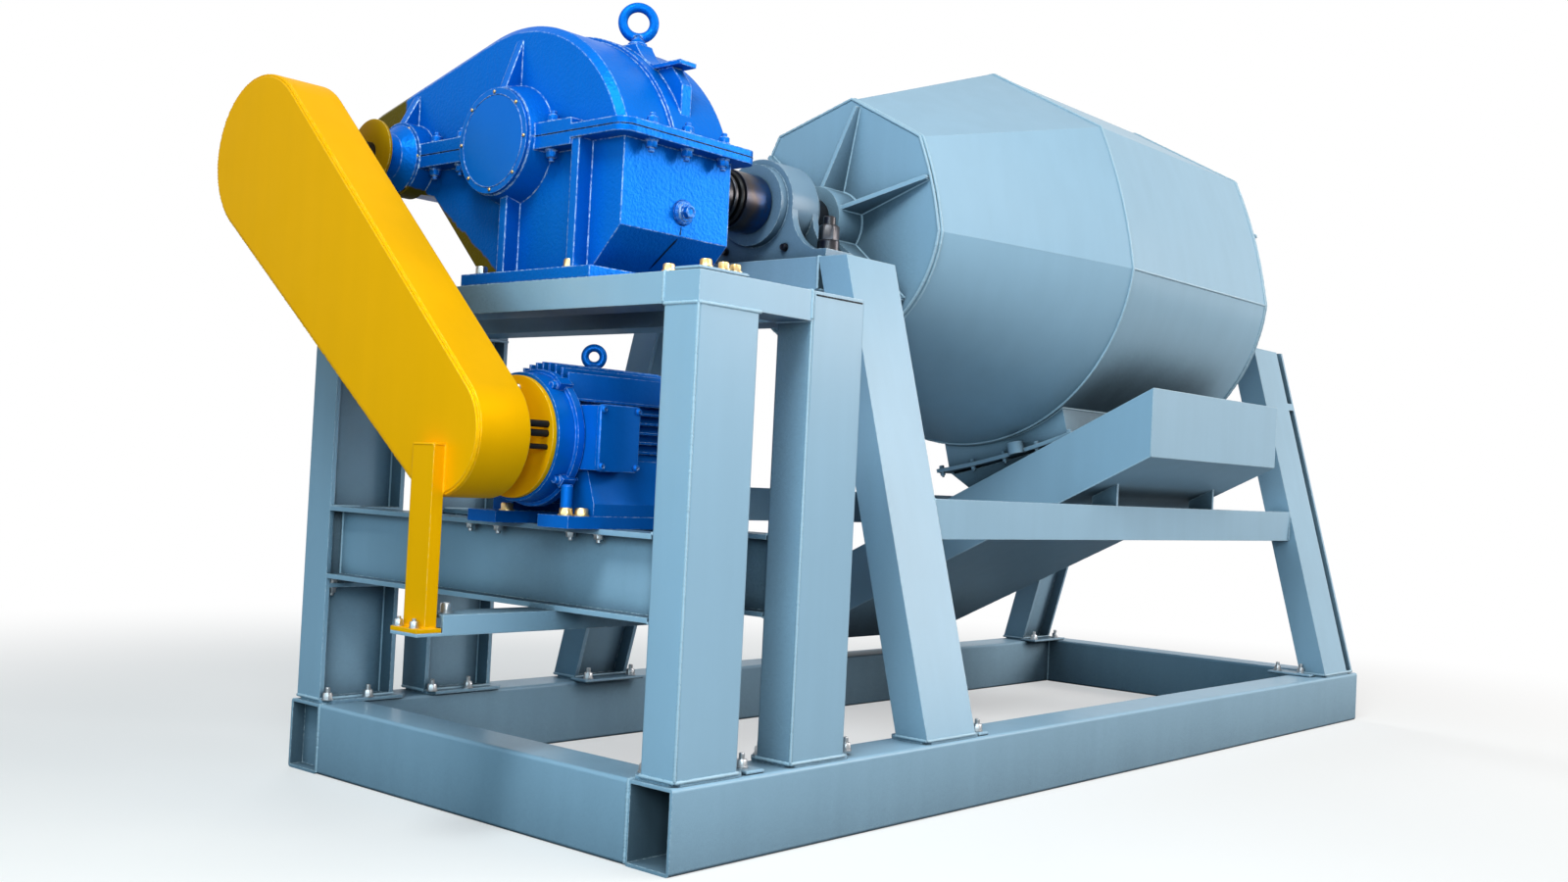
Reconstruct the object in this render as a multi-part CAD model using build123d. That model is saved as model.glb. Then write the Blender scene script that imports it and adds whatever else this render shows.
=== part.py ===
"""Drum amalgamator: a skid-mounted tapered drum on two trestles, turned through a
cast gearbox by a belt-driven motor, with a discharge chute below the drum.

Frame: +X runs along the drum's axis from the gearbox end to the far end, +Y from the
near side to the far side, +Z up. The origin is the middle of the machine's footprint
on the floor. All sizes are in millimetres.
"""
import os
from math import cos, hypot, radians, sin, tan

from build123d import *

# Base frame
base_length = 4130
base_width = 1580
beam_height = 200
beam_width = 146
beam_wall = 9
beam_heel = 10
end_plate_inset = 40

# How far the belt guard's foot reaches past the base at the gearbox end
foot_reach = 392

# Trestles that carry the drum
trestle_left_x = 990
trestle_right_margin = 332
leg_x = 234
leg_y_width = 108
leg_top_y = 375
trestle_height = 1575
trestle_beam_height = 100
leg_plate = 14
slot_width = 48
slot_depth = 60
batten_height = 30
batten_drop = 255

# Drum axis over the trestles, and the gearbox stand under it
bearing_rise = 182
gear_rise = 377

# Gearbox stand
stand_x = 12
stand_edge = 8
column_x = 212
column_y = 116
column_pitch_x = 401
far_column_y = 116
far_column_x = 250
column_web = 12
column_flange = 14
base_plate = 10
base_plate_margin = 32
base_plate_chamfer = 20
top_beam_height = 76
top_beam_width = 116
frame_web = 10
frame_flange = 12

# Motor platform and the beam that carries the guard's leg
platform_top = 768
platform_height = 208
platform_beam_width = 100
platform_web = 9
platform_flange = 13
stiffener_drop = 28
outrigger_height = 48
outrigger_width = 100
outrigger_wall = 8
outrigger_margin = 100

# Side rails between the trestles, at a drop from the drum's axis
rail_drop = 884
rail_height = 119
rail_width = 96
rail_wall = 8

# Drum
drum_x0 = 1451
ring_x = 2214
drum_right_margin = 510
drum_end_radius = 424
drum_radius = 686
drum_turn = 6
flat_angle = 45
side_crown = 18
crown_reach = 0.2
shell_wall = 12
end_wall = 16

# Shaft line
shaft_radius = 70
hub_radius = 112
hub_length = 120
rib_thickness = 14
rib_count = 6
rib_turn = 11
rib_tip = 20
rib_margin = 30
sleeve_radius = 92
sleeve_length = 110
sleeve_gap = 6
shaft_end = 10
running_gap = 0.05
shaft_entry = 40
end_gap = 1

# Bearing housings
housing_radius = 148
housing_length = 124
housing_cover_radius = 128
housing_cover_length = 30
housing_foot_height = 34
housing_foot_y = 580
housing_waist = 46
housing_web = 26
housing_web_reach = 120

# Gearbox
gear_x0 = 83
gear_width = 385
gear_near_y = 362
gear_chamfer_y = 104
gear_chamfer_z = 109
gear_foot_y0 = 387
gear_foot_y1 = 896
gear_foot = 30
gear_dome_y = 799
gear_dome_drop = 131
gear_dome_radius = 453
gear_far_radius = 172
gear_far_centre_y = 1385
gear_edge = 18
gear_flange = 18
gear_flange_reach = 52
gear_flange_corner = 40
gear_lug = 34
gear_lug_y = 506
gear_band = 10
gear_band_x = 172
output_boss_radius = 143
output_boss_flare = 16
output_boss_reach = 65
cap_thickness = 10
cap_margin = 4
input_y = 1240
input_boss_radius = 104
input_boss_reach = 55
casting_rib = 28
boss_rib_y = 768
casting_rib_reach = 46
boss_gusset_top = 282
input_gusset_top = 190
lug_rib_x = 215
lug_rib_width = 35
lug_rib_top = 213
lug_cap = 12
lug_cap_margin = 12
lug_y0 = 388
input_shaft_radius = 30
input_disc_radius = 95
input_disc_small = 62
input_disc_length = 26

# Lifting eye on the gearbox
eye_y = 585
eye_radius = 42
eye_wire = 13
eye_neck = 26
eye_neck_height = 22
eye_neck_taper = 28
eye_links = 20
eye_turn = -40

# Motor
motor_y = 492
motor_rise = 213
motor_x0 = -100
motor_length = 560
motor_radius = 160
shield_length = 50
shield_ring = 20
shield_margin = 8
shield_lug = 26
shield_lug_turn = 38
cowl_length = 120
fin_height = 24
top_fin_reach = 188
fin_pitch = 24
fin_thickness = 6
disc_radius = 149
disc_thickness = 12
disc_hole = 60
motor_shaft_radius = 26
motor_shaft_entry = 60
hub_rib_count = 8
hub_rib_height = 6
hub_rib_width = 7
hub_rib_gap = 8
terminal_length = 124
terminal_depth = 55
terminal_height = 155
terminal_rise = 5
motor_foot_y = 150
motor_foot_width = 80
motor_foot_top = 60
motor_foot_inset = 20
slide_x0 = -88
slide_y = 135
slide_width = 110
slide_height = 30

# Belt guard
guard_x = -332
guard_depth = 150
guard_sheet = 5
guard_edge = 9
guard_hole_gap = 12
guard_big_y = 1360
guard_drop = 43
guard_big_radius = 218
guard_small_radius = 152
leg_tube_x = 32
leg_tube_y = 82
leg_y = 498
leg_top = 950
leg_foot_thickness = 10
leg_foot_side = 9
leg_foot_back = 8
leg_foot_gap = 4

# Chute
chute_ring_margin = 24
chute_end_margin = 98
chute_slope = 26.7
chute_drop = 713
chute_side = 232
chute_wall = 8
chute_end_y = 1560
gusset_thickness = 12
gusset_inset = 120

# Hatch in the drum's lower near side, at an angle from the top
hatch_angle = 165
hatch_clearance = 8
hatch_overhang = 34
hatch_length = 520
hatch_half_width = 258
hatch_rise = 46
hatch_crown = 13
hatch_plate = 14
hatch_wall = 8
hatch_dish_depth = 108
hatch_dish_taper = 33
hatch_dish_margin = 25
hatch_stud_radius = 30
hatch_stud_height = 42
hatch_stud_share = 0.24

# Worked-out places
shift_x = (foot_reach - base_length) / 2
shift_y = -base_width / 2
place = Pos(shift_x, shift_y, 0)
axis_y = base_width / 2
axis_z = trestle_height + bearing_rise
stand_height = axis_z - gear_rise
trestle_right_x = base_length - trestle_right_margin
motor_z = platform_top + motor_rise
rail_top = axis_z - rail_drop
drum_x1 = trestle_right_x - drum_right_margin
hatch_reach = drum_radius + hatch_rise
chute_x0 = ring_x - chute_ring_margin
chute_x1 = drum_x1 - chute_end_margin
chute_top_z = axis_z - chute_drop
over = 1


def block(x0, x1, y0, y1, z0, z1):
    """A plain rectangular solid between two corners."""
    return Pos((x0 + x1) / 2, (y0 + y1) / 2, (z0 + z1) / 2) * Box(x1 - x0, y1 - y0, z1 - z0)


def tube_x(x0, x1, y0, y1, z0, z1, wall, heel=0):
    """A rectangular hollow beam that runs along X, open at both ends."""
    outer = block(x0, x1, y0, y1, z0, z1)
    if heel:
        outer = fillet(outer.edges().filter_by(Axis.X), heel)
    return outer - block(x0 - over, x1 + over, y0 + wall, y1 - wall, z0 + wall, z1 - wall)


def tube_y(x0, x1, y0, y1, z0, z1, wall, heel=0):
    """A rectangular hollow beam that runs along Y, open at both ends."""
    outer = block(x0, x1, y0, y1, z0, z1)
    if heel:
        outer = fillet(outer.edges().filter_by(Axis.Y), heel)
    return outer - block(x0 + wall, x1 - wall, y0 - over, y1 + over, z0 + wall, z1 - wall)


def yz_prism(points, x0, x1):
    """A closed outline of (y, z) points carried from x0 to x1."""
    outline = Plane.YZ * make_face(Polyline(*points, close=True))
    return Pos(x0, 0, 0) * extrude(outline, amount=x1 - x0)


def disc_x(x0, x1, radius, y, z):
    """A round bar along X."""
    return Pos((x0 + x1) / 2, y, z) * Rot(0, 90, 0) * Cylinder(radius, x1 - x0)


def cone_x(x0, x1, radius_0, radius_1, y, z):
    """A tapered round bar along X."""
    return Pos((x0 + x1) / 2, y, z) * Rot(0, 90, 0) * Cone(radius_0, radius_1, x1 - x0)


def round_x(x0, x1, radius_0, radius_1, y, z):
    """A round bar along X, tapered where its two radii differ."""
    if radius_0 == radius_1:
        return disc_x(x0, x1, radius_0, y, z)
    return cone_x(x0, x1, radius_0, radius_1, y, z)


def base_plate_at(x0, x1, y0, y1):
    """A floor plate with clipped corners under a column, on the base beams."""
    plate = block(x0, x1, y0, y1, beam_height, beam_height + base_plate)
    return chamfer(plate.edges().filter_by(Axis.Z), base_plate_chamfer)


parts = {}

# Base frame: two long beams with the cross beams between them
far_y0 = base_width - beam_width
parts["base_beam_near"] = tube_x(0, base_length, 0, beam_width, 0, beam_height, beam_wall, beam_heel)
far_beam = tube_x(0, base_length, far_y0, base_width, 0, beam_height, beam_wall, beam_heel)
far_beam += block(end_plate_inset, end_plate_inset + beam_wall, far_y0 + beam_wall,
                  base_width - beam_wall, beam_wall, beam_height - beam_wall)
parts["base_beam_far"] = far_beam
for name, x0 in (("base_cross_left", 0), ("base_cross_right", base_length - beam_width)):
    parts[name] = tube_y(x0, x0 + beam_width, beam_width, far_y0, 0, beam_height, beam_wall, beam_heel)

# Gearbox stand: boxed columns on the near side
column_foot = beam_height + base_plate
column_xs = (stand_x, stand_x + column_pitch_x)
near_y1 = stand_edge + column_y
far_col_y1 = base_width - stand_edge
far_col_y0 = far_col_y1 - far_column_y
under_frame = stand_height - top_beam_height
for name, x0, top in (("stand_column_near_left", column_xs[0], under_frame),
                      ("stand_column_near_right", column_xs[1], stand_height)):
    column = block(x0, x0 + column_x, stand_edge, near_y1, column_foot, top)
    column = fillet(column.edges().filter_by(Axis.Z), beam_heel)
    column += base_plate_at(x0, x0 + column_x + base_plate_margin, stand_edge, near_y1 + base_plate_margin)
    parts[name] = column

# Far columns: rolled beams with flanges facing the ends, and stiffeners at the platform
frame_x1 = column_xs[1] + column_x
stiffener_zs = (platform_top - platform_height - stiffener_drop, platform_top - platform_flange)
web_y = (far_col_y0 + far_col_y1 - column_web) / 2
for name, x0 in (("stand_column_far_left", stand_x), ("stand_column_far_right", frame_x1 - far_column_x)):
    x1 = x0 + far_column_x
    column = block(x0, x1, web_y, web_y + column_web, column_foot, under_frame)
    for x in (x0, x1 - column_flange):
        column += block(x, x + column_flange, far_col_y0, far_col_y1, column_foot, under_frame)
    for z in stiffener_zs:
        column += block(x0, x1, far_col_y0, far_col_y1, z, z + platform_flange)
    column += base_plate_at(x0, x1 + base_plate_margin, far_col_y0 - base_plate_margin, far_col_y1)
    parts[name] = column

# Top frame of the stand
parts["stand_beam_near"] = block(stand_x, column_xs[1], stand_edge, near_y1, under_frame, stand_height)
far_beam = block(stand_x, frame_x1, far_col_y0, far_col_y1, under_frame, stand_height)
far_beam -= block(stand_x - over, frame_x1 + over, far_col_y0 + frame_web, far_col_y1 - frame_web,
                  under_frame - over, stand_height - frame_flange)
parts["stand_beam_far"] = far_beam
for name, x0 in (("stand_beam_front", stand_x), ("stand_beam_back", column_xs[1])):
    x1 = x0 + top_beam_width
    beam = block(x0, x1, near_y1, far_col_y0, under_frame, stand_height)
    parts[name] = beam - block(x0 + frame_web, x1 + over, near_y1 - over, far_col_y0 + over,
                               under_frame + frame_flange, stand_height - frame_flange)

# Motor platform between the stand's columns
platform_z0 = platform_top - platform_height
for name, x0 in (("platform_beam_front", stand_x), ("platform_beam_back", column_xs[1])):
    x1 = x0 + platform_beam_width
    web_x = (x0 + x1 - platform_web) / 2
    beam = block(web_x, web_x + platform_web, near_y1, far_col_y0, platform_z0, platform_top)
    for z in (platform_z0, platform_top - platform_flange):
        beam += block(x0, x1, near_y1, far_col_y0, z, z + platform_flange)
    parts[name] = beam
outrigger_y0 = leg_y - outrigger_width / 2
outrigger_y1 = outrigger_y0 + outrigger_width
outrigger_z0 = platform_z0 - outrigger_height
outrigger_x1 = frame_x1 - outrigger_margin
outrigger = block(-foot_reach, outrigger_x1, outrigger_y0, outrigger_y1, outrigger_z0, platform_z0)
outrigger -= block(-foot_reach - over, outrigger_x1 + over, outrigger_y0 + outrigger_wall,
                   outrigger_y1 + over, outrigger_z0 + outrigger_wall, platform_z0 - outrigger_wall)
leg_foot_z = outrigger_z0 + outrigger_wall
outrigger -= block(-foot_reach - over, guard_x + leg_foot_back + leg_foot_gap, outrigger_y0 - over,
                   outrigger_y1 + over, leg_foot_z, platform_z0 + over)
parts["guard_outrigger"] = outrigger

# Trestles: two sloping legs and a beam across their tops
leg_foot = beam_height + base_plate
lean = (leg_top_y - stand_edge) / (trestle_height - leg_foot)
batten_z = trestle_height - batten_drop


def near_leg_strip(x0, x1, depth):
    """A sloping strip that follows the near leg's outer face, to a depth in Y."""
    return yz_prism([(stand_edge, leg_foot), (stand_edge + depth, leg_foot),
                     (leg_top_y + depth, trestle_height), (leg_top_y, trestle_height)], x0, x1)


def far_leg_strip(x0, x1, y0, y1):
    """A sloping strip of the far leg, between two depths from its outer face."""
    far_foot = base_width - stand_edge
    far_top = base_width - leg_top_y
    return yz_prism([(far_foot - y0, leg_foot), (far_foot - y1, leg_foot),
                     (far_top - y1, trestle_height), (far_top - y0, trestle_height)], x0, x1)


for side, x0 in (("left", trestle_left_x), ("right", trestle_right_x)):
    x1 = x0 + leg_x
    near_leg = near_leg_strip(x0, x1, leg_y_width)
    if side == "right":
        slot_x1 = x1 + slot_width
        slot = near_leg_strip(x1, slot_x1, slot_depth)
        slot -= block(x1 - over, slot_x1 + over, 0, base_width, batten_z, batten_z + batten_height)
        near_leg += near_leg_strip(x1, slot_x1 + leg_plate, leg_y_width) - slot
    near_leg += base_plate_at(x0, x1 + base_plate_margin, stand_edge, beam_width)
    parts[f"trestle_{side}_leg_near"] = near_leg
    far_leg = far_leg_strip(x0, x1, (leg_y_width - leg_plate) / 2, (leg_y_width + leg_plate) / 2)
    for x in (x0, x1 - leg_plate):
        far_leg += far_leg_strip(x, x + leg_plate, 0, leg_y_width)
    far_leg += base_plate_at(x0, x1, base_width - stand_edge - leg_y_width - base_plate_margin,
                             base_width - stand_edge)
    parts[f"trestle_{side}_leg_far"] = far_leg
    beam_y0 = leg_top_y + leg_y_width
    parts[f"trestle_{side}_beam"] = block(x0, x1, beam_y0, base_width - beam_y0,
                                          trestle_height - trestle_beam_height, trestle_height)

# Side rails between the trestles
near_rail_y = stand_edge + lean * (rail_top - leg_foot)
for side, y0 in (("near", near_rail_y), ("far", base_width - near_rail_y - rail_width)):
    parts[f"rail_{side}"] = tube_x(trestle_left_x + leg_x, trestle_right_x, y0, y0 + rail_width,
                                   rail_top - rail_height, rail_top, rail_wall)

# Bearing housings: a bored ring with covers, on a cast foot whose flanks sweep up to the ring
foot_half = housing_foot_y / 2
foot_top = trestle_height + housing_foot_height
for side, x0 in (("left", trestle_left_x), ("right", trestle_right_x)):
    housing_x0 = x0 + (leg_x - housing_length) / 2
    housing_x1 = housing_x0 + housing_length
    flank_y = foot_half - housing_waist
    half = [(axis_y, trestle_height), (axis_y - foot_half, trestle_height), (axis_y - foot_half, foot_top),
            (axis_y - flank_y, foot_top)]
    flank = ThreePointArc(half[-1], (axis_y - (flank_y + housing_radius) / 2 + housing_waist / 2,
                                     (foot_top + axis_z) / 2 - housing_waist / 2),
                          (axis_y - housing_radius, axis_z))
    foot = Plane.YZ * make_face(Polyline(*half) + flank + Polyline((axis_y - housing_radius, axis_z),
                                                                  (axis_y, axis_z), half[0]))
    foot = Pos(housing_x0, 0, 0) * extrude(foot, amount=housing_length)
    foot -= block(housing_x0 + housing_web, housing_x1 - housing_web, axis_y - foot_half - over,
                  axis_y - housing_web_reach, foot_top, axis_z + over)
    housing = disc_x(housing_x0, housing_x1, housing_radius, axis_y, axis_z)
    housing += disc_x(housing_x0 - housing_cover_length, housing_x1 + housing_cover_length,
                      housing_cover_radius, axis_y, axis_z)
    housing += foot + mirror(foot, about=Plane.XZ.offset(-axis_y))
    housing -= disc_x(housing_x0 - leg_x, housing_x1 + leg_x, shaft_radius + running_gap, axis_y, axis_z)
    parts[f"bearing_{side}"] = housing


def rim_point(radius, angle):
    """A (y, z) point on the drum's rim, at an angle from the top towards the near side."""
    turn = radians(angle)
    return (axis_y - radius * sin(turn), axis_z + radius * cos(turn))


# The crowned side plate belongs to a much larger circle, whose centre lies beyond the drum's axis
half_flat = radians(flat_angle / 2)
half_chord = drum_radius * sin(half_flat)
crown_centre = (half_chord ** 2 - side_crown ** 2) / (2 * side_crown) - drum_radius * cos(half_flat)
crown_y, crown_z = rim_point(-crown_centre, drum_turn + 1.5 * flat_angle)


def crown_radius(radius):
    """The large circle's radius where it passes through the side plate's two corners."""
    return hypot(radius * cos(half_flat) + crown_centre, radius * sin(half_flat))


def top_corners(x, radius):
    """The upper half's corners at x: flats over the top, and an outer corner that the crown then cuts off."""
    corners = [rim_point(radius, drum_turn + k * flat_angle) for k in (-2, -1, 0, 1)]
    beyond = [corners[3][k] + (corners[3][k] - corners[2][k]) * crown_reach for k in (0, 1)]
    lowest = rim_point(radius * (1 + crown_reach / 2), drum_turn + 2 * flat_angle)
    return [(x, y, z) for y, z in (*corners[:3], beyond, lowest)]


# The drum's lower half lies below a plane through the axis, turned with the flats
lower_half = Pos(0, axis_y, axis_z) * Rot(drum_turn, 0, 0) * block(
    drum_x0 - drum_radius, drum_x1 + drum_radius, -drum_radius, drum_radius, -drum_radius, 0)


def drum_solid(x0, x1, radius_0, radius_1):
    """The drum between two sections: flat plates above, a rolled cone or cylinder below."""
    first, last = top_corners(x0, radius_0), top_corners(x1, radius_1)
    flats = [(first[k], first[k - 1], last[k - 1], last[k]) for k in range(len(first))]
    upper = Solid(Shell([Face(Wire.make_polygon(corners)) for corners in (first, last, *flats)]))
    upper &= round_x(x0, x1, crown_radius(radius_0), crown_radius(radius_1), crown_y, crown_z)
    return upper + (round_x(x0, x1, radius_0, radius_1, axis_y, axis_z) & lower_half)


# Drum: a tapered half and a straight half, both of rolled and flat plate
parts["drum_cone"] = (drum_solid(drum_x0, ring_x, drum_end_radius, drum_radius)
                      - drum_solid(drum_x0, ring_x, drum_end_radius - shell_wall, drum_radius - shell_wall))
barrel_solid = drum_solid(ring_x, drum_x1, drum_radius, drum_radius)
barrel = barrel_solid - drum_solid(ring_x, drum_x1, drum_radius - shell_wall, drum_radius - shell_wall)

# Hatch: a square neck, and a dished cover on a saddle-shaped plate
hatch_turn = Pos(0, axis_y, axis_z) * Rot(hatch_angle, 0, 0)
neck_x0 = chute_x0 + chute_wall + hatch_clearance + hatch_overhang
neck_x1 = neck_x0 + hatch_length
neck_root = drum_radius * cos(radians(flat_angle)) - shell_wall
plate_half = hatch_half_width + hatch_overhang


def saddle_arc(reach):
    """The hatch plate's curve across the drum, at its reach from the axis."""
    return ThreePointArc((-plate_half, reach), (0, reach + hatch_crown), (plate_half, reach))


def saddle_form(outline):
    """A closed outline across the drum carried over the hatch plate's length."""
    form = Plane.YZ * make_face(outline)
    return Pos(neck_x0 - hatch_overhang, 0, 0) * extrude(form, amount=hatch_length + 2 * hatch_overhang)


def above_saddle(reach, height):
    """All that lies above the saddle curve, up to a flat top."""
    return saddle_form(saddle_arc(reach) + Polyline((plate_half, reach), (plate_half, reach + height),
                                                    (-plate_half, reach + height), (-plate_half, reach)))


def saddle_plate(reach, thickness):
    """The hatch plate: a strip between two saddle curves."""
    edges = [Line((way * plate_half, reach), (way * plate_half, reach + thickness)) for way in (-1, 1)]
    return saddle_form(saddle_arc(reach) + saddle_arc(reach + thickness) + edges)


def hatch_block(inset, z0, z1):
    """A block over the neck's outline, drawn in by an inset on every side."""
    half = hatch_half_width - inset
    return block(neck_x0 + inset, neck_x1 - inset, -half, half, z0, z1)


plate_top = hatch_reach + hatch_plate
throat = hatch_turn * hatch_block(hatch_wall, neck_root, plate_top + hatch_crown + over)
parts["drum_barrel"] = barrel - throat
neck = hatch_block(0, neck_root, hatch_reach + hatch_crown) - above_saddle(hatch_reach, hatch_dish_depth)
parts["hatch_neck"] = hatch_turn * neck - barrel_solid - throat
dish_base = Rectangle(hatch_length - 2 * hatch_wall, 2 * (plate_half - hatch_dish_margin))
dish = Pos((neck_x0 + neck_x1) / 2, 0, plate_top) * extrude(dish_base, amount=hatch_dish_depth,
                                                            taper=hatch_dish_taper)
dish -= Pos(0, 0, -hatch_wall) * dish
hatch_cover = dish - saddle_plate(hatch_reach, hatch_plate) + saddle_plate(hatch_reach, hatch_plate)
hatch_cover += Pos(neck_x0 - hatch_overhang, hatch_half_width * hatch_stud_share,
                   plate_top + hatch_crown - hatch_stud_height) * Cylinder(
    hatch_stud_radius, hatch_stud_height, align=(Align.CENTER, Align.CENTER, Align.MIN))
parts["hatch_cover"] = hatch_turn * hatch_cover - throat

# Drum ends: plate, hub and tapered ribs
shaft_line = disc_x(drum_x0 - drum_radius, drum_x1 + drum_radius, shaft_radius, axis_y, axis_z)
for side, x_in, way, radius in (("left", drum_x0, -1, drum_end_radius), ("right", drum_x1, 1, drum_radius)):
    x_out = x_in + way * end_wall
    hub_out = x_out + way * hub_length
    end = drum_solid(min(x_in, x_out), max(x_in, x_out), radius, radius)
    end += disc_x(min(x_out, hub_out), max(x_out, hub_out), hub_radius, axis_y, axis_z)
    rib_hub = hub_out - way * rib_thickness
    rib_rim = radius - rib_margin
    rib = Polyline((x_out, shaft_radius), (rib_hub, shaft_radius), (rib_hub, hub_radius),
                   (x_out + way * rib_tip, rib_rim), (x_out, rib_rim), close=True)
    rib = Pos(0, rib_thickness / 2, 0) * extrude(Plane.XZ * make_face(rib), amount=rib_thickness)
    for k in range(rib_count):
        end += Pos(0, axis_y, axis_z) * Rot(rib_turn + k * 360 / rib_count, 0, 0) * rib
    parts[f"drum_end_{side}"] = end - shaft_line

# Shaft line from the gearbox to the far bearing
gear_x1 = gear_x0 + gear_width
sleeve_x1 = trestle_left_x + (leg_x - housing_length) / 2 - housing_cover_length - sleeve_gap
sleeve_x0 = sleeve_x1 - sleeve_length
far_shaft_x1 = trestle_right_x + (leg_x + housing_length) / 2 + housing_cover_length + shaft_end
parts["drum_shaft_left"] = disc_x(gear_x1 - shaft_entry + end_gap, drum_x0, shaft_radius, axis_y, axis_z)
sleeve = disc_x(sleeve_x0, sleeve_x1, sleeve_radius, axis_y, axis_z)
parts["shaft_coupling"] = sleeve - disc_x(sleeve_x0 - over, sleeve_x1 + over, shaft_radius, axis_y, axis_z)
parts["drum_shaft_right"] = disc_x(drum_x1, far_shaft_x1, shaft_radius, axis_y, axis_z)


def obround(y_a, z_a, r_a, y_b, z_b, r_b):
    """A belt-shaped outline round two circles in the YZ plane."""
    big = Pos(y_a, z_a) * Circle(r_a)
    small = Pos(y_b, z_b) * Circle(r_b)
    return Plane.YZ * make_hull(big.edges() + small.edges())


def cover_form(x0, x1, grow):
    """The gearbox cover's domed outline, grown outwards, between two places along the axis."""
    outline = obround(gear_dome_y, axis_z - gear_dome_drop, gear_dome_radius + grow,
                      gear_far_centre_y, axis_z, gear_far_radius + grow)
    form = Pos(x0, 0, 0) * extrude(outline, amount=x1 - x0)
    if not grow:
        ends = form.edges().filter_by(GeomType.CIRCLE) + form.edges().filter_by(GeomType.LINE).filter_by(
            Axis.X, reverse=True)
        form = chamfer(ends, gear_edge)
    return form & block(x0 - over, x1 + over, 0, 2 * base_width, axis_z, axis_z + 2 * gear_dome_radius)


# Gearbox cover: domed casting with a raised band, a split flange, bearing lugs, gussets and the lifting rib
gear_far_y = gear_far_centre_y + gear_far_radius
gear_bed = stand_height + gear_foot
boss_x0 = gear_x0 - output_boss_reach
lug_x0 = gear_x0 - gear_flange_reach
lug_x1 = gear_x1 + gear_flange_reach
lip = block(lug_x0, lug_x1, gear_near_y - gear_flange_reach, gear_far_y, axis_z, axis_z + gear_flange)
lip = fillet(lip.edges().filter_by(Axis.Z), gear_flange_corner)
lugs = block(lug_x0, gear_x0, gear_lug_y, gear_far_y - gear_flange_corner, axis_z, axis_z + gear_lug)
lugs += block(gear_x1, lug_x1, gear_lug_y, gear_far_y - gear_flange_corner, axis_z, axis_z + gear_lug)
cover = cover_form(gear_x0, gear_x1, 0)
cover += cover_form(gear_x0 + gear_band_x, gear_x1 - gear_edge, gear_band)
cover += lip + lugs
for y, top in ((axis_y, boss_gusset_top), (input_y, input_gusset_top)):
    gusset = Plane.XZ * make_face(Polyline((gear_x0, axis_z), (lug_x0, axis_z), (lug_x0, axis_z + top / 2),
                                           (gear_x0, axis_z + top), close=True))
    cover += Pos(0, y + casting_rib / 2, 0) * extrude(gusset, amount=casting_rib)
rib_x0 = gear_x0 + lug_rib_x
rib_x1 = rib_x0 + lug_rib_width
rib_z = axis_z + lug_rib_top
band_radius = gear_dome_radius + gear_band
rib_root_y = gear_dome_y - (band_radius ** 2 - (lug_rib_top + gear_dome_drop) ** 2) ** 0.5
cover += block(rib_x0, rib_x1, lug_y0, gear_dome_y, axis_z, rib_z) & cover_form(
    gear_x0, gear_x1, gear_flange_reach)
eye_x = (rib_x0 + rib_x1) / 2
eye_seat = axis_z - gear_dome_drop + ((band_radius + lug_cap) ** 2 - (gear_dome_y - eye_y) ** 2) ** 0.5
saddle_top = Polyline((lug_y0, rib_z), (lug_y0, rib_z + lug_cap), (rib_root_y, rib_z + lug_cap))
saddle_top += ThreePointArc((rib_root_y, rib_z + lug_cap),
                            ((rib_root_y + eye_y - eye_neck) / 2, (rib_z + eye_seat) / 2 - lug_cap / 2),
                            (eye_y - eye_neck, eye_seat))
saddle_top += Polyline((eye_y - eye_neck, eye_seat), (eye_y + eye_neck, eye_seat),
                       (gear_dome_y, eye_seat - lug_cap), (gear_dome_y, rib_z), (lug_y0, rib_z))
cover += Pos(rib_x0 - lug_cap_margin, 0, 0) * extrude(Plane.YZ * make_face(saddle_top),
                                                      amount=lug_rib_width + 2 * lug_cap_margin)

# Gearbox base: chamfered sump on a foot, with ribs under the flange and under the output boss
lower = yz_prism([(gear_near_y, axis_z), (gear_near_y, gear_bed + gear_chamfer_z),
                  (gear_near_y + gear_chamfer_y, gear_bed), (gear_foot_y1, gear_bed),
                  (input_y - input_boss_radius, axis_z - input_boss_radius),
                  (gear_far_y, axis_z - gear_lug), (gear_far_y, axis_z)], gear_x0, gear_x1)
lower += Pos(0, 0, -gear_flange) * lip + Pos(0, 0, -gear_lug) * lugs
lower += block(stand_x, gear_x1 + gear_x0 - stand_x, gear_foot_y0, gear_foot_y1, stand_height, gear_bed)
for y in (gear_lug_y - casting_rib / 2, boss_rib_y):
    for x0, x1 in ((gear_x0 - casting_rib_reach, gear_x0), (gear_x1, gear_x1 + casting_rib_reach)):
        lower += block(x0, x1, y - casting_rib / 2, y + casting_rib / 2, gear_bed, axis_z)
flared_radius = output_boss_radius + output_boss_flare
bosses = cone_x(boss_x0, gear_x0, output_boss_radius, flared_radius, axis_y, axis_z)
bosses += cone_x(gear_x1, gear_x1 + output_boss_reach, flared_radius, output_boss_radius, axis_y, axis_z)
bosses += disc_x(gear_x0 - input_boss_reach, gear_x0, input_boss_radius, input_y, axis_z)
upper_half = block(boss_x0 - over, gear_x1 + gear_width, 0, base_width, axis_z, axis_z + gear_dome_radius)
shaft_bore = disc_x(gear_x1 - shaft_entry, gear_x1 + gear_width, shaft_radius + running_gap, axis_y, axis_z)
input_bore = disc_x(boss_x0 - gear_width, gear_x0 + shaft_entry, input_shaft_radius + running_gap,
                    input_y, axis_z)
cap_seat = disc_x(boss_x0 - gear_width, boss_x0, output_boss_radius, axis_y, axis_z)
parts["gearbox_base"] = lower + (bosses - upper_half) - shaft_bore - input_bore - cap_seat
parts["gearbox_output_cap"] = disc_x(boss_x0 - cap_thickness, boss_x0, output_boss_radius - cap_margin,
                                     axis_y, axis_z)

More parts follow.
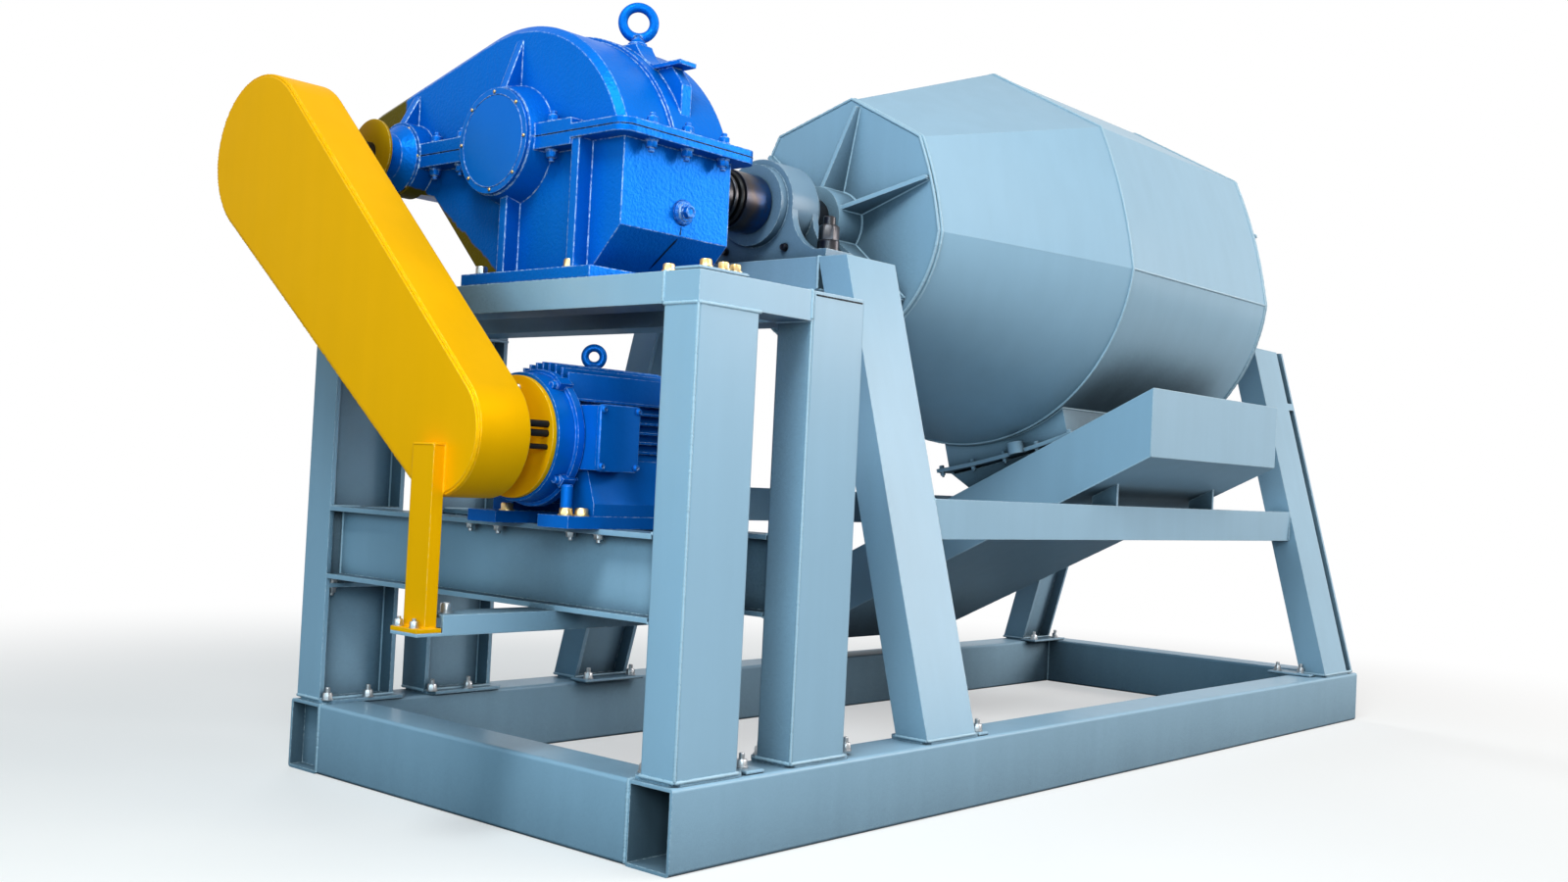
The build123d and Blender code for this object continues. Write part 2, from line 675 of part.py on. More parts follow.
# Lifting eye: a ring of mitred eight-sided links on a short tapered neck
eye_z = eye_seat + eye_neck_height + eye_radius
mitre = (eye_radius + 2 * eye_wire) * tan(radians(180 / eye_links))
wedge = Plane.XZ * make_face(Polyline((0, 0), (eye_radius + 2 * eye_wire, -mitre),
                                      (eye_radius + 2 * eye_wire, mitre), close=True))
link = Pos(eye_radius, 0, 0) * extrude(RegularPolygon(eye_wire, 8), amount=mitre, both=True)
link &= extrude(wedge, amount=2 * eye_wire, both=True)
ring = link + [Rot(0, k * 360 / eye_links, 0) * link for k in range(1, eye_links)]
neck = extrude(RegularPolygon(eye_neck, 8), amount=eye_neck_height, taper=eye_neck_taper)
eye = Pos(eye_x, eye_y, eye_z) * Rot(0, 0, eye_turn) * ring + Pos(eye_x, eye_y, eye_seat) * neck
parts["gearbox_eye"] = eye
parts["gearbox_cover"] = cover + (bosses & upper_half) - shaft_bore - input_bore - cap_seat - eye

# Input shaft with its tapered disc, turned by the belt
guard_back = guard_x + guard_depth
disc_x1 = gear_x0 - input_boss_reach - end_gap * 2
input_shaft = disc_x(guard_back - motor_shaft_entry, gear_x0 + shaft_entry - end_gap, input_shaft_radius,
                     input_y, axis_z)
input_shaft += cone_x(disc_x1 - input_disc_length, disc_x1, input_disc_small, input_disc_radius,
                      input_y, axis_z)
parts["input_shaft"] = input_shaft

# Motor: finned frame with feet, between a flanged shield and a plain cowl
neck_end = motor_x0 + shield_length
ring_end = neck_end + shield_ring
motor_x1 = motor_x0 + motor_length
frame_end = motor_x1 - cowl_length
core_radius = motor_radius - fin_height
ring_radius = motor_radius + shield_margin
body = disc_x(ring_end, frame_end, core_radius, motor_y, motor_z)
fins_each_way = int(core_radius * cos(radians(45)) / fin_pitch)
fins = []
for k in range(-fins_each_way, fins_each_way + 1):
    offset = k * fin_pitch
    reach = (motor_radius ** 2 - offset ** 2) ** 0.5
    top_reach = (top_fin_reach ** 2 - offset ** 2) ** 0.5
    half_fin = fin_thickness / 2
    fins.append(block(ring_end, frame_end, offset - half_fin, offset + half_fin, -reach, top_reach))
    fins.append(block(ring_end, frame_end, -reach, reach, offset - half_fin, offset + half_fin))
body += [Pos(0, motor_y, motor_z) * fin for fin in fins]
foot_z = platform_top + slide_height
for way in (-1, 1):
    y_in = motor_y + way * (motor_foot_y - motor_foot_width / 2)
    y_out = motor_y + way * (motor_foot_y + motor_foot_width / 2)
    y_up = motor_y + way * core_radius
    foot_outline = [(y_in, foot_z), (y_out, foot_z), (y_out, foot_z + slide_height), (y_up, motor_z),
                    (y_in, motor_z - motor_foot_top)]
    body += yz_prism(foot_outline, ring_end + motor_foot_inset, frame_end - motor_foot_inset)
box_x0 = ring_end + end_gap * 3
box_y0 = motor_y - motor_radius - terminal_depth
box_z0 = motor_z + terminal_rise - terminal_height / 2
terminal_box = block(box_x0, box_x0 + terminal_length, box_y0, motor_y - core_radius, box_z0,
                     box_z0 + terminal_height)
parts["motor_terminal_box"] = terminal_box
parts["motor_body"] = body - terminal_box
shield = disc_x(motor_x0, neck_end, disc_radius + shield_margin, motor_y, motor_z)
shield += disc_x(neck_end, ring_end, ring_radius, motor_y, motor_z)
for k in range(4):
    lug = block(neck_end - shield_ring, ring_end, ring_radius - shield_lug, ring_radius + shield_margin,
                -shield_lug / 2, shield_lug / 2)
    shield += Pos(0, motor_y, motor_z) * Rot(shield_lug_turn + k * 90, 0, 0) * lug
parts["motor_shield"] = shield - disc_x(motor_x0 - over, neck_end, motor_shaft_radius + running_gap,
                                        motor_y, motor_z)
parts["motor_cowl"] = disc_x(frame_end, motor_x1, motor_radius, motor_y, motor_z)
slide_bars = [block(slide_x0, motor_x1, motor_y + way * slide_y - slide_width / 2,
                    motor_y + way * slide_y + slide_width / 2, platform_top, platform_top + slide_height)
              for way in (-1, 1)]
parts["motor_slide_base"] = slide_bars[0] + slide_bars[1]
parts["motor_disc"] = disc_x(motor_x0 - disc_thickness, motor_x0, disc_radius, motor_y, motor_z) - \
    disc_x(motor_x0 - motor_length, motor_x0 + over, disc_hole, motor_y, motor_z)
motor_shaft = disc_x(guard_back - motor_shaft_entry, neck_end - end_gap, motor_shaft_radius,
                     motor_y, motor_z)
hub_rib = block(guard_back + hub_rib_gap, motor_x0 - disc_thickness - hub_rib_gap, -hub_rib_width / 2,
                hub_rib_width / 2, 0, motor_shaft_radius + hub_rib_height)
motor_shaft += [Pos(0, motor_y, motor_z) * Rot(k * 360 / hub_rib_count, 0, 0) * hub_rib
                for k in range(hub_rib_count)]
parts["motor_shaft"] = motor_shaft

# Belt guard: a closed sheet case with rounded edges, on its leg
big_z = axis_z - guard_drop
guard = Pos(guard_x, 0, 0) * extrude(obround(guard_big_y, big_z, guard_big_radius, motor_y, motor_z,
                                             guard_small_radius), amount=guard_depth)
guard = chamfer(guard.faces().sort_by(Axis.X)[0].edges(), guard_edge)
guard_hollow = Pos(guard_x + guard_sheet, 0, 0) * extrude(
    obround(guard_big_y, big_z, guard_big_radius - guard_edge, motor_y, motor_z,
            guard_small_radius - guard_edge), amount=guard_depth - 2 * guard_sheet)
shaft_holes = disc_x(guard_back - guard_depth / 2, guard_back + over, input_shaft_radius + guard_hole_gap,
                     input_y, axis_z)
shaft_holes += disc_x(guard_back - guard_depth / 2, guard_back + over, motor_shaft_radius + guard_hole_gap,
                      motor_y, motor_z)
parts["guard_shell"] = guard - guard_hollow - shaft_holes
leg = block(guard_x - leg_tube_x, guard_x, leg_y - leg_tube_y / 2, leg_y + leg_tube_y / 2,
            leg_foot_z + leg_foot_thickness, leg_top)
leg += block(-foot_reach, guard_x + leg_foot_back, leg_y - leg_tube_y / 2 - leg_foot_side,
             leg_y + leg_tube_y / 2 + leg_foot_side, leg_foot_z, leg_foot_z + leg_foot_thickness)
parts["guard_leg"] = leg

# Discharge chute: floor, two sides and the closed near end, on gussets over the rail and the far beam
fall = tan(radians(chute_slope))
floor_z = chute_top_z + chute_wall / cos(radians(chute_slope))
low_z = chute_top_z - fall * chute_end_y
rim_z = chute_top_z + chute_side + beam_height
trough = yz_prism([(0, chute_top_z), (chute_end_y, low_z), (chute_end_y, low_z + chute_side),
                   (0, chute_top_z + chute_side)], chute_x0, chute_x1)
inside = yz_prism([(chute_wall, floor_z - fall * chute_wall),
                   (chute_end_y + chute_wall, floor_z - fall * (chute_end_y + chute_wall)),
                   (chute_end_y + chute_wall, rim_z), (chute_wall, rim_z)],
                  chute_x0 + chute_wall, chute_x1 - chute_wall)
chute = trough - inside
gusset_feet = ((near_rail_y, near_rail_y + rail_width, rail_top), (far_y0, chute_end_y, beam_height))
for x0 in (chute_x0 + gusset_inset, chute_x1 - gusset_inset - gusset_thickness):
    for y0, y1, z0 in gusset_feet:
        chute += yz_prism([(y0, z0), (y1, z0), (y1, chute_top_z - fall * y1 + over),
                           (y0, chute_top_z - fall * y0 + over)], x0, x0 + gusset_thickness)
parts["chute"] = chute

os.makedirs("parts", exist_ok=True)
for name, shape in parts.items():
    export_step(place * shape, f"parts/{name}.step")
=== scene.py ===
from math import cos, pi, radians, sin, tan

import bpy
import bmesh
import numpy as np
from mathutils import Matrix, Vector


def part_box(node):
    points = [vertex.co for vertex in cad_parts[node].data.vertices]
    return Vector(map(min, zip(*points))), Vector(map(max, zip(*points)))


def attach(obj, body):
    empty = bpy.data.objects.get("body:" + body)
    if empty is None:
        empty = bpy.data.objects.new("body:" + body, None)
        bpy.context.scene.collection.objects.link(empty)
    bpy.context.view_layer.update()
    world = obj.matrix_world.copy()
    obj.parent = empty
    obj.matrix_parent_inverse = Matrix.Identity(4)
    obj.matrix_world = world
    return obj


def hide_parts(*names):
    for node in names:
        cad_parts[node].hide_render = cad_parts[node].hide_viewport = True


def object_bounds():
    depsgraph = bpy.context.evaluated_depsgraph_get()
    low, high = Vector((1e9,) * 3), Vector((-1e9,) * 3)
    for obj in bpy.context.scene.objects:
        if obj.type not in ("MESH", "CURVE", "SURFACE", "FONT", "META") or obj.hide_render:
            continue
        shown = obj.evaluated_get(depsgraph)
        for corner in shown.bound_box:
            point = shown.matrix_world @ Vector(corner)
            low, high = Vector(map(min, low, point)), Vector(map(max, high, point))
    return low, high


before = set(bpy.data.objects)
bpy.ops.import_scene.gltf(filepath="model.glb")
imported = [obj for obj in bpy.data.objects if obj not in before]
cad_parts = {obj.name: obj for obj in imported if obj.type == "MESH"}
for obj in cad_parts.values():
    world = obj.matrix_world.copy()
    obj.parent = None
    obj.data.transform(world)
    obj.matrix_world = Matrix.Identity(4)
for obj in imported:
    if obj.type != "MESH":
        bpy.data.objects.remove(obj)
cad_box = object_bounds()

# Base frame: four hollow steel beams, sawn to length and welded into a rectangle.
# All the steelwork is sprayed with one coat of blue-grey enamel after welding, so the beads
# are painted too. Its edges are painted paler, as painted highlights where they would catch the light,
# and the beads' enamel is painted lighter than the frame's, as a painted highlight.
frame_colour = (0.290, 0.455, 0.59, 1)
bead_radius = 0.0055
bead_ripple = 0.008
bead_sides = 8
box_skin = 0.0002
beam_heel = 0.003
weld_inset = 0.001
# The plain film's defaults, with its painted shade in close places and its painted pale edge highlights.
plain_film = {"pale": (0.74, 0.86, 0.93, 1), "tone": 0.10, "peel_size": 170.0, "peel_depth": 0.00006,
              "wave_depth": 0.0007, "edge_light": 0.7, "edge_radius": 0.004, "shelter": 0.80, "varnish": 0.3}
shader_sockets = {"Colour": "Base Color", "Roughness": "Roughness", "Coat": "Coat Weight", "Normal": "Normal"}


def add(tree, kind, inputs=(), **settings):
    """Adds a node to a tree. Each input takes a plain value, or the socket that feeds it."""
    node = tree.nodes.new("ShaderNode" + kind)
    for key, value in settings.items():
        setattr(node, key, value)
    for key, value in dict(inputs).items():
        if isinstance(value, bpy.types.NodeSocket):
            tree.links.new(value, node.inputs[key])
        else:
            node.inputs[key].default_value = value
    return node


def calc(tree, operation, *terms):
    """The result of a sum over plain values and sockets."""
    return add(tree, "Math", dict(enumerate(terms)), operation=operation).outputs[0]


def ranged(tree, value, low, high, to_low=0.0, to_high=1.0, **settings):
    """A value carried from one range to another, and held inside it."""
    limits = {"Value": value, "From Min": low, "From Max": high, "To Min": to_low, "To Max": to_high}
    return add(tree, "MapRange", limits, **settings).outputs[0]


def noise(tree, place, scale, detail, roughness=0.5):
    """Noise between 0 and 1 at a place."""
    values = {"Vector": place, "Scale": scale, "Detail": detail, "Roughness": roughness}
    return add(tree, "TexNoise", values).outputs[0]


def object_place(tree):
    """Where a point of the surface lies, in the object's own metres."""
    return add(tree, "TexCoord").outputs["Object"]


def blend_colours(tree, share, first, second):
    """A mix of two colours, each a plain value or a socket."""
    return add(tree, "Mix", {0: share, 6: first, 7: second}, data_type="RGBA").outputs[2]


def new_group(name, colours, numbers, outputs):
    """A node group with colours and numbers as its inputs, and its two ends."""
    tree = bpy.data.node_groups.new(name, "ShaderNodeTree")
    for label, kind in [(c, "Color") for c in colours] + [(n, "Float") for n in numbers]:
        tree.interface.new_socket(label, in_out="INPUT", socket_type="NodeSocket" + kind)
    for label, kind in outputs.items():
        tree.interface.new_socket(label, in_out="OUTPUT", socket_type="NodeSocket" + kind)
    return tree, tree.nodes.new("NodeGroupInput").outputs, tree.nodes.new("NodeGroupOutput").inputs


def paint_film_group():
    """Sprayed paint. Its tone drifts in clouds and faint runs downwards. It is painted darker where other
    surfaces stand close round it, as painted shade, and its varnish coat fades there too. It is painted
    pale over edges in broken dashes, as painted highlights. Its height is fine orange peel on a slow
    wave."""
    tree, given, out = new_group(
        "paint film", ("Paint", "Pale"),
        ("Tone", "Peel Size", "Peel Depth", "Wave Depth", "Edge Light", "Edge Radius", "Gloss", "Shelter",
         "Varnish"),
        {"Colour": "Color", "Roughness": "Float", "Coat": "Float", "Normal": "Vector"})
    here = object_place(tree)
    drawn_down = add(tree, "Mapping", {"Vector": here, "Scale": (16.0, 16.0, 1.2)}).outputs[0]
    cloud_and_runs = calc(tree, "ADD", noise(tree, here, 2.3, 5.0, 0.6), noise(tree, drawn_down, 1.0, 3.0))
    drift = calc(tree, "ADD", cloud_and_runs, -1.0)
    lift = calc(tree, "MULTIPLY_ADD", drift, given["Tone"], 1.0)
    sky = add(tree, "AmbientOcclusion", {"Distance": 0.6}, samples=6).outputs["AO"]
    open_share = ranged(tree, sky, 0.28, 0.68)
    tree.links.new(calc(tree, "MULTIPLY", open_share, given["Varnish"]), out["Coat"])
    # Painted shade: the colour is made darker where the occlusion finds other surfaces near.
    shade = calc(tree, "MULTIPLY", calc(tree, "MULTIPLY_ADD", open_share, -1.0, 1.0), given["Shelter"])
    bright = calc(tree, "SUBTRACT", lift, shade)
    toned = add(tree, "HueSaturation", {"Value": bright, "Color": given["Paint"]})
    round_edge = add(tree, "Bevel", {"Radius": given["Edge Radius"]}, samples=4).outputs[0]
    true_normal = add(tree, "NewGeometry").outputs["Normal"]
    turn = add(tree, "VectorMath", {0: round_edge, 1: true_normal}, operation="DOT_PRODUCT").outputs["Value"]
    # Painted highlight: pale dashes on edges, where rounded edges would catch the light.
    near_edge = ranged(tree, turn, 0.99, 0.80)
    broken = ranged(tree, noise(tree, here, 95.0, 3.0, 0.6), 0.43, 0.58, 0.12, 1.0)
    painted_edge_highlight = calc(tree, "MULTIPLY", calc(tree, "MULTIPLY", near_edge, broken), given["Edge Light"])
    tree.links.new(blend_colours(tree, painted_edge_highlight, toned.outputs[0], given["Pale"]), out["Colour"])
    peel = calc(tree, "MULTIPLY", noise(tree, here, given["Peel Size"], 2.0), given["Peel Depth"])
    height = calc(tree, "MULTIPLY_ADD", noise(tree, here, 5.0, 1.0), given["Wave Depth"], peel)
    bump = add(tree, "Bump", {"Strength": 1.0, "Distance": 1.0, "Height": height, "Normal": round_edge})
    tree.links.new(bump.outputs[0], out["Normal"])
    mottle = noise(tree, here, 9.0, 4.0)
    tree.links.new(calc(tree, "MULTIPLY_ADD", mottle, 0.16, given["Gloss"]), out["Roughness"])
    return tree


paint_film = paint_film_group()


def new_material(name):
    """A material, its node tree and its shader."""
    material = bpy.data.materials.new(name)
    material.use_nodes = True
    return material, material.node_tree, material.node_tree.nodes["Principled BSDF"]


def place_skin(tree, shader, skin, values):
    """Places a node group in a material with its values, and leads what it puts out to the shader."""
    for output in add(tree, "Group", values, node_tree=skin).outputs:
        tree.links.new(output, shader.inputs[shader_sockets[output.name]])


def painted(name, colour, gloss, sheen=0.05, metallic=0.0, **look):
    """A material of sprayed enamel over steel or a casting. What the look leaves out is the plain film's."""
    material, tree, shader = new_material(name)
    film = {**plain_film, **look, "paint": colour, "gloss": gloss}
    values = {key.replace("_", " ").title(): value for key, value in film.items()}
    place_skin(tree, shader, paint_film, values)
    shader.inputs["Specular IOR Level"].default_value = sheen
    shader.inputs["Coat Roughness"].default_value = gloss * 0.6
    shader.inputs["Metallic"].default_value = metallic
    return material


enamel = painted("frame enamel", frame_colour, 0.42)
# The beads' enamel is painted lighter than the frame's, as a painted highlight, and gets less painted shade.
bead_enamel_with_highlight = painted("weld bead enamel with painted highlight", (0.40, 0.56, 0.67, 1), 0.30, edge_light=0.4, shelter=0.25)


def finish_nodes(material, *names):
    """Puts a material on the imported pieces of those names."""
    for name in names:
        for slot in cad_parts[name].material_slots:
            slot.material = material


def make_piece(name, shape, material, slot, body="root", sharp=35):
    """A new piece from arrays of points and faces. Its seams and poles are sewn up, and it is smooth
    except where it turns by more than the sharp angle."""
    points, faces = shape
    mesh = bpy.data.meshes.new(name)
    mesh.from_pydata(points.tolist(), [], faces.tolist())
    sewn = bmesh.new()
    sewn.from_mesh(mesh)
    bmesh.ops.remove_doubles(sewn, verts=sewn.verts, dist=0.00001)
    sewn.to_mesh(mesh)
    sewn.free()
    mesh.materials.append(material)
    mesh.polygons.foreach_set("use_smooth", np.ones(len(mesh.polygons), bool))
    mesh.set_sharp_from_angle(angle=radians(sharp))
    mesh.update()
    obj = bpy.data.objects.new(name, mesh)
    bpy.context.scene.collection.objects.link(obj)
    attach(obj, body)
    return obj


def grid_faces(rows, columns, round_rows=False, round_columns=False):
    """The four-cornered faces of a grid of points, closed up in either direction."""
    r, c = np.meshgrid(np.arange(rows if round_rows else rows - 1),
                       np.arange(columns if round_columns else columns - 1), indexing="ij")
    r1, c1 = (r + 1) % rows, (c + 1) % columns
    corners = [r * columns + c, r * columns + c1, r1 * columns + c1, r1 * columns + c]
    return np.stack(corners, axis=-1).reshape(-1, 4)


def together(shapes):
    """Several (points, faces) pairs as one."""
    counts = np.cumsum([0] + [len(points) for points, faces in shapes])
    return (np.concatenate([points for points, faces in shapes]),
            np.concatenate([faces + start for (points, faces), start in zip(shapes, counts)]))


def bead(path, closed=False, radius=bead_radius, ripple=bead_ripple, seed=0):
    """A round bar along a path. Its radius swells with a sine of one ripple's length and a random
    wander, and it closes to a point at an open end. It is dressed flush where it would stand out of
    the whole object's box."""
    path = np.asarray(path, float)
    if closed:
        path = np.vstack([path, path[:1]])
    along = np.concatenate([[0], np.cumsum(np.linalg.norm(np.diff(path, axis=0), axis=1))])
    count = max(6, int(along[-1] / ripple * 2.5))
    at = np.linspace(0, along[-1], count, endpoint=not closed)
    line = np.stack([np.interp(at, along, path[:, k]) for k in range(3)], axis=1)
    ahead = np.roll(line, -1, axis=0) - np.roll(line, 1, axis=0) if closed else np.gradient(line, axis=0)
    ahead /= np.linalg.norm(ahead, axis=1, keepdims=True)
    side = np.cross(ahead, np.eye(3)[np.argmin(np.abs(ahead).max(axis=0))])
    side /= np.linalg.norm(side, axis=1, keepdims=True)
    above = np.cross(ahead, side)
    wander = np.random.default_rng(seed).normal(0, 0.10, count)
    swell = radius * (1 + 0.16 * np.sin(2 * pi * at / ripple) + wander)
    if not closed:
        swell[[0, -1]] = 0
    angle = np.arange(bead_sides) * 2 * pi / bead_sides
    ring = side[:, None] * np.cos(angle)[None, :, None] + above[:, None] * np.sin(angle)[None, :, None]
    points = (line[:, None] + ring * swell[:, None, None]).reshape(-1, 3)
    points = np.clip(points, np.asarray(cad_box[0]) + box_skin, np.asarray(cad_box[1]) - box_skin)
    return points, grid_faces(count, bead_sides, round_rows=closed, round_columns=True)


def beads(name, paths, radius=bead_radius, ripple=bead_ripple, material=bead_enamel_with_highlight, slot="frame_paint",
          body="root", closed=False):
    """One piece of many weld beads, or of ridges and bars of that form."""
    shapes = [bead(path, closed, radius, ripple, seed=k) for k, path in enumerate(paths)]
    make_piece(name, together(shapes), material, slot, body, sharp=80)


def edge_loop(box, axis, at, inset=weld_inset):
    """The four corners of a box's outline across an axis, in order from the lowest."""
    low, high = np.asarray(box[0]) + inset, np.asarray(box[1]) - inset
    a, b = [k for k in range(3) if k != axis]
    corners = np.full((4, 3), float(at))
    corners[:, a] = (low[a], high[a], high[a], low[a])
    corners[:, b] = (low[b], low[b], high[b], high[b])
    return corners


def whole_loop(box, axis, at, inset=weld_inset):
    """The same outline as a path that ends where it began."""
    return edge_loop(box, axis, at, inset)[[0, 1, 2, 3, 0]]


def end_loops(box, axis, ends=(0, 1)):
    """Paths round a beam's ends, where it is welded to what it meets."""
    return [whole_loop(box, axis, box[end][axis]) for end in ends]


finish_nodes(enamel, "base_beam_near", "base_beam_far", "base_cross_left", "base_cross_right")
base_paths = []
for name in ("base_cross_left", "base_cross_right"):
    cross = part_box(name)
    base_paths += [edge_loop(cross, 1, cross[end][1], beam_heel)[[0, 3, 2, 1]] for end in (0, 1)]
beads("base_welds", base_paths)

# Gearbox stand: two boxed columns near and two rolled columns far, under a frame of beams.
# They are steel plate and rolled sections, welded to foot plates, and the foot plates are
# welded to the base. Zinc-plated bolts hold the foot plates' corners and the stiffeners.
stand_nodes = [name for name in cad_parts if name.startswith(("stand_", "platform_"))]
finish_nodes(enamel, "guard_outrigger", *stand_nodes)
foot_plate = 0.010
plate_margin = 0.032
plate_chamfer = 0.003
column_flange = 0.014
column_web = 0.012
seam_inset = 0.002
platform_web = 0.009
stiffener = 0.013
stiffener_drop = 0.028
upward, downward, to_left, to_near = (0, 0, 1), (0, 0, -1), (-1, 0, 0), (0, -1, 0)
near_columns = []
far_columns = []
for side in ("left", "right"):
    (x0, y0, z0), (x1, y1, z1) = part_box("stand_column_near_" + side)
    near_columns.append(((x0, y0, z0 + foot_plate), (x1 - plate_margin, y1 - plate_margin, z1)))
    (x0, y0, z0), (x1, y1, z1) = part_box("stand_column_far_" + side)
    far_columns.append(((x0, y0 + plate_margin, z0 + foot_plate), (x1 - plate_margin, y1, z1)))
stand_paths = [whole_loop(box, 2, box[0][2]) for box in near_columns + far_columns]
stand_paths += [whole_loop(box, 2, box[1][2]) for box in near_columns[:1] + far_columns]
stand_paths += end_loops(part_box("stand_beam_near"), 0, ends=(1,))
stand_paths += end_loops(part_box("stand_beam_front"), 1) + end_loops(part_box("stand_beam_back"), 1)
seam_paths = [[(x0 + seam_inset, y0 + seam_inset, z) for z in (z0, z1)]
              for (x0, y0, z0), (_, _, z1) in near_columns]
for (x0, y0, z0), (x1, y1, z1) in far_columns:
    web_y = (y0 + y1 - column_web) / 2
    seam_paths += [[(x, web_y, z0), (x, web_y, z1)] for x in (x0 + column_flange, x1 - column_flange)]
for name in ("platform_beam_front", "platform_beam_back"):
    (x0, y0, z0), (x1, y1, z1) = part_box(name)
    web_x = (x0 + x1 - platform_web) / 2
    for y in (y0 + weld_inset, y1 - weld_inset):
        seam_paths += [[(x0, y, z), (x1, y, z)] for z in (z1, z0)] + [[(web_x, y, z0), (web_x, y, z1)]]
beads("stand_welds", stand_paths, radius=0.0048)
beads("stand_seams", seam_paths, radius=0.0035)


def metal_skin_group():
    """Bare or plated metal: a cloudy stain over the colour, uneven polish and fine brush marks."""
    tree, given, out = new_group("metal skin", ("Metal", "Stain"), ("Stained", "Polish"),
                                 {"Colour": "Color", "Roughness": "Float", "Normal": "Vector"})
    here = object_place(tree)
    cloud = noise(tree, here, 38.0, 5.0, 0.65)
    share = ranged(tree, cloud, 0.42, 0.72, 0.0, given["Stained"])
    tree.links.new(blend_colours(tree, share, given["Metal"], given["Stain"]), out["Colour"])
    tree.links.new(calc(tree, "MULTIPLY_ADD", cloud, 0.3, given["Polish"]), out["Roughness"])
    bump = add(tree, "Bump", {"Strength": 1.0, "Distance": 0.00005, "Height": noise(tree, here, 900.0, 2.0)})
    tree.links.new(bump.outputs[0], out["Normal"])
    return tree


metal_skin = metal_skin_group()


def metal(name, colour, polish, stain=(0.10, 0.09, 0.08, 1), stained=0.35):
    """A material of bare or plated metal."""
    material, tree, shader = new_material(name)
    values = {"Metal": colour, "Stain": stain, "Stained": stained, "Polish": polish}
    place_skin(tree, shader, metal_skin, values)
    shader.inputs["Metallic"].default_value = 1.0
    return material


no_limit = 1.0


def middle(box):
    """The middle of a box."""
    return (np.asarray(box[0]) + box[1]) / 2


def circles(*pairs):
    """Round rings, from pairs of height and radius."""
    return [(height, no_limit, radius) for height, radius in pairs]


def hex_bolt(across, head, washer=0.003, tip=0.0):
    """The rings of a bolt from its seat up: height, half width over the flats, and round limit. Each
    ring is the smaller of a hexagon and a circle."""
    half = across / 2
    top = washer + head
    rings = circles((0, 0), (0, half * 1.3), (washer, half * 1.3))
    rings += [(washer, half, half * 1.12), (washer + head * 0.8, half, half * 1.12), (top, half, half * 0.93)]
    if tip:
        end = top + tip
        shank = circles((top, half * 0.55), (top + tip * 0.85, half * 0.55), (end, half * 0.42), (end, 0))
        return rings + shank
    dent = top - head * 0.06
    return rings + circles((top, half * 0.72), (dent, half * 0.66), (dent, 0))


def button_screw(radius, height):
    """The rings of a round-headed screw with a socket in its top."""
    head = circles((0, 0), (0, radius), (height * 0.5, radius * 0.97), (height * 0.85, radius * 0.8),
                   (height, radius * 0.55))
    socket = [(height, radius * 0.42, no_limit), (height * 0.4, radius * 0.4, no_limit)]
    return head + socket + circles((height * 0.4, 0))


def stamp(rings, places, ways, steps=24, seed=3):
    """Turned or six-sided shapes set on places, each with its height along its way. A ring's radius at
    an angle is its half width divided by the cosine of the angle from the nearest flat, up to its round
    limit."""
    rings, places = np.asarray(rings, float), np.asarray(places, float)
    ways = np.broadcast_to(np.asarray(ways, float), places.shape)
    angle = np.arange(steps) * 2 * pi / steps
    fold = np.abs((angle + pi / 6) % (pi / 3) - pi / 6)
    radius = np.minimum(rings[:, 1:2] / np.cos(fold)[None], rings[:, 2:3])
    ways = ways / np.linalg.norm(ways, axis=1, keepdims=True)
    side = np.cross(ways, np.eye(3)[np.argmin(np.abs(ways), axis=1)])
    side /= np.linalg.norm(side, axis=1, keepdims=True)
    above = np.cross(ways, side)
    spun = angle[None] + np.random.default_rng(seed).uniform(0, pi / 3, len(places))[:, None]
    points = (places[:, None, None] + ways[:, None, None] * rings[None, :, None, :1]
              + side[:, None, None] * (radius[None] * np.cos(spun)[:, None])[..., None]
              + above[:, None, None] * (radius[None] * np.sin(spun)[:, None])[..., None])
    one = grid_faces(len(rings), steps, round_columns=True)
    faces = one[None] + (np.arange(len(places)) * len(rings) * steps)[:, None, None]
    return points.reshape(-1, 3), faces.reshape(-1, 4)


def fasten(name, rings, places, material, ways=upward, slot="shaft_steel"):
    """One piece of many bolts, nuts or screws of one kind."""
    make_piece(name, stamp(rings, places, ways), material, slot)


def plate(low, size):
    """A flat bar: its outline is drawn in by the chamfer at its bottom and at its top."""
    low, size = np.asarray(low, float), np.asarray(size, float)
    top = size[2]
    levels = np.array([(0, plate_chamfer), (plate_chamfer, 0), (top - plate_chamfer, 0), (top, plate_chamfer)])
    corner = np.array([(0, 0), (1, 0), (1, 1), (0, 1)], float)
    flat = low[:2] + corner[None] * size[:2] + levels[:, 1][:, None, None] * (1 - 2 * corner)[None]
    height = np.broadcast_to((low[2] + levels[:, 0])[:, None, None], flat.shape[:2] + (1,))
    faces = np.concatenate([grid_faces(4, 4, round_columns=True), [(3, 2, 1, 0), (12, 13, 14, 15)]])
    return np.concatenate([flat, height], axis=-1).reshape(-1, 3), faces


def plates(name, lows_and_sizes):
    """One piece of flat bars, enamelled like the frame."""
    shape = together([plate(low, size) for low, size in lows_and_sizes])
    make_piece(name, shape, enamel, "frame_paint", sharp=20)


zinc = metal("zinc plate", (0.52, 0.54, 0.56, 1), 0.22)
foot_bolt = hex_bolt(0.026, 0.017, washer=0.004, tip=0.015)
foot_places = []
for (x0, y0, z0), (x1, y1, z1) in near_columns:
    foot_places += [(x1 + 0.060, y0 + 0.045, z0), (x0 + 0.036, y1 + 0.018, z0)]
for (x0, y0, z0), (x1, y1, z1) in far_columns:
    foot_places += [(x0 + 0.015, y0 - 0.018, z0), (x0 + 0.150, y0 - 0.018, z0), (x1 + 0.016, y1 - 0.035, z0)]
(x0, y0, z0), (x1, y1, z1) = near_columns[0]
plates("stand_foot_tabs", [((x1 + plate_margin, y0 + 0.002, z0 - foot_plate), (0.064, 0.090, foot_plate))])
fasten("stand_foot_bolts", foot_bolt, foot_places, zinc)

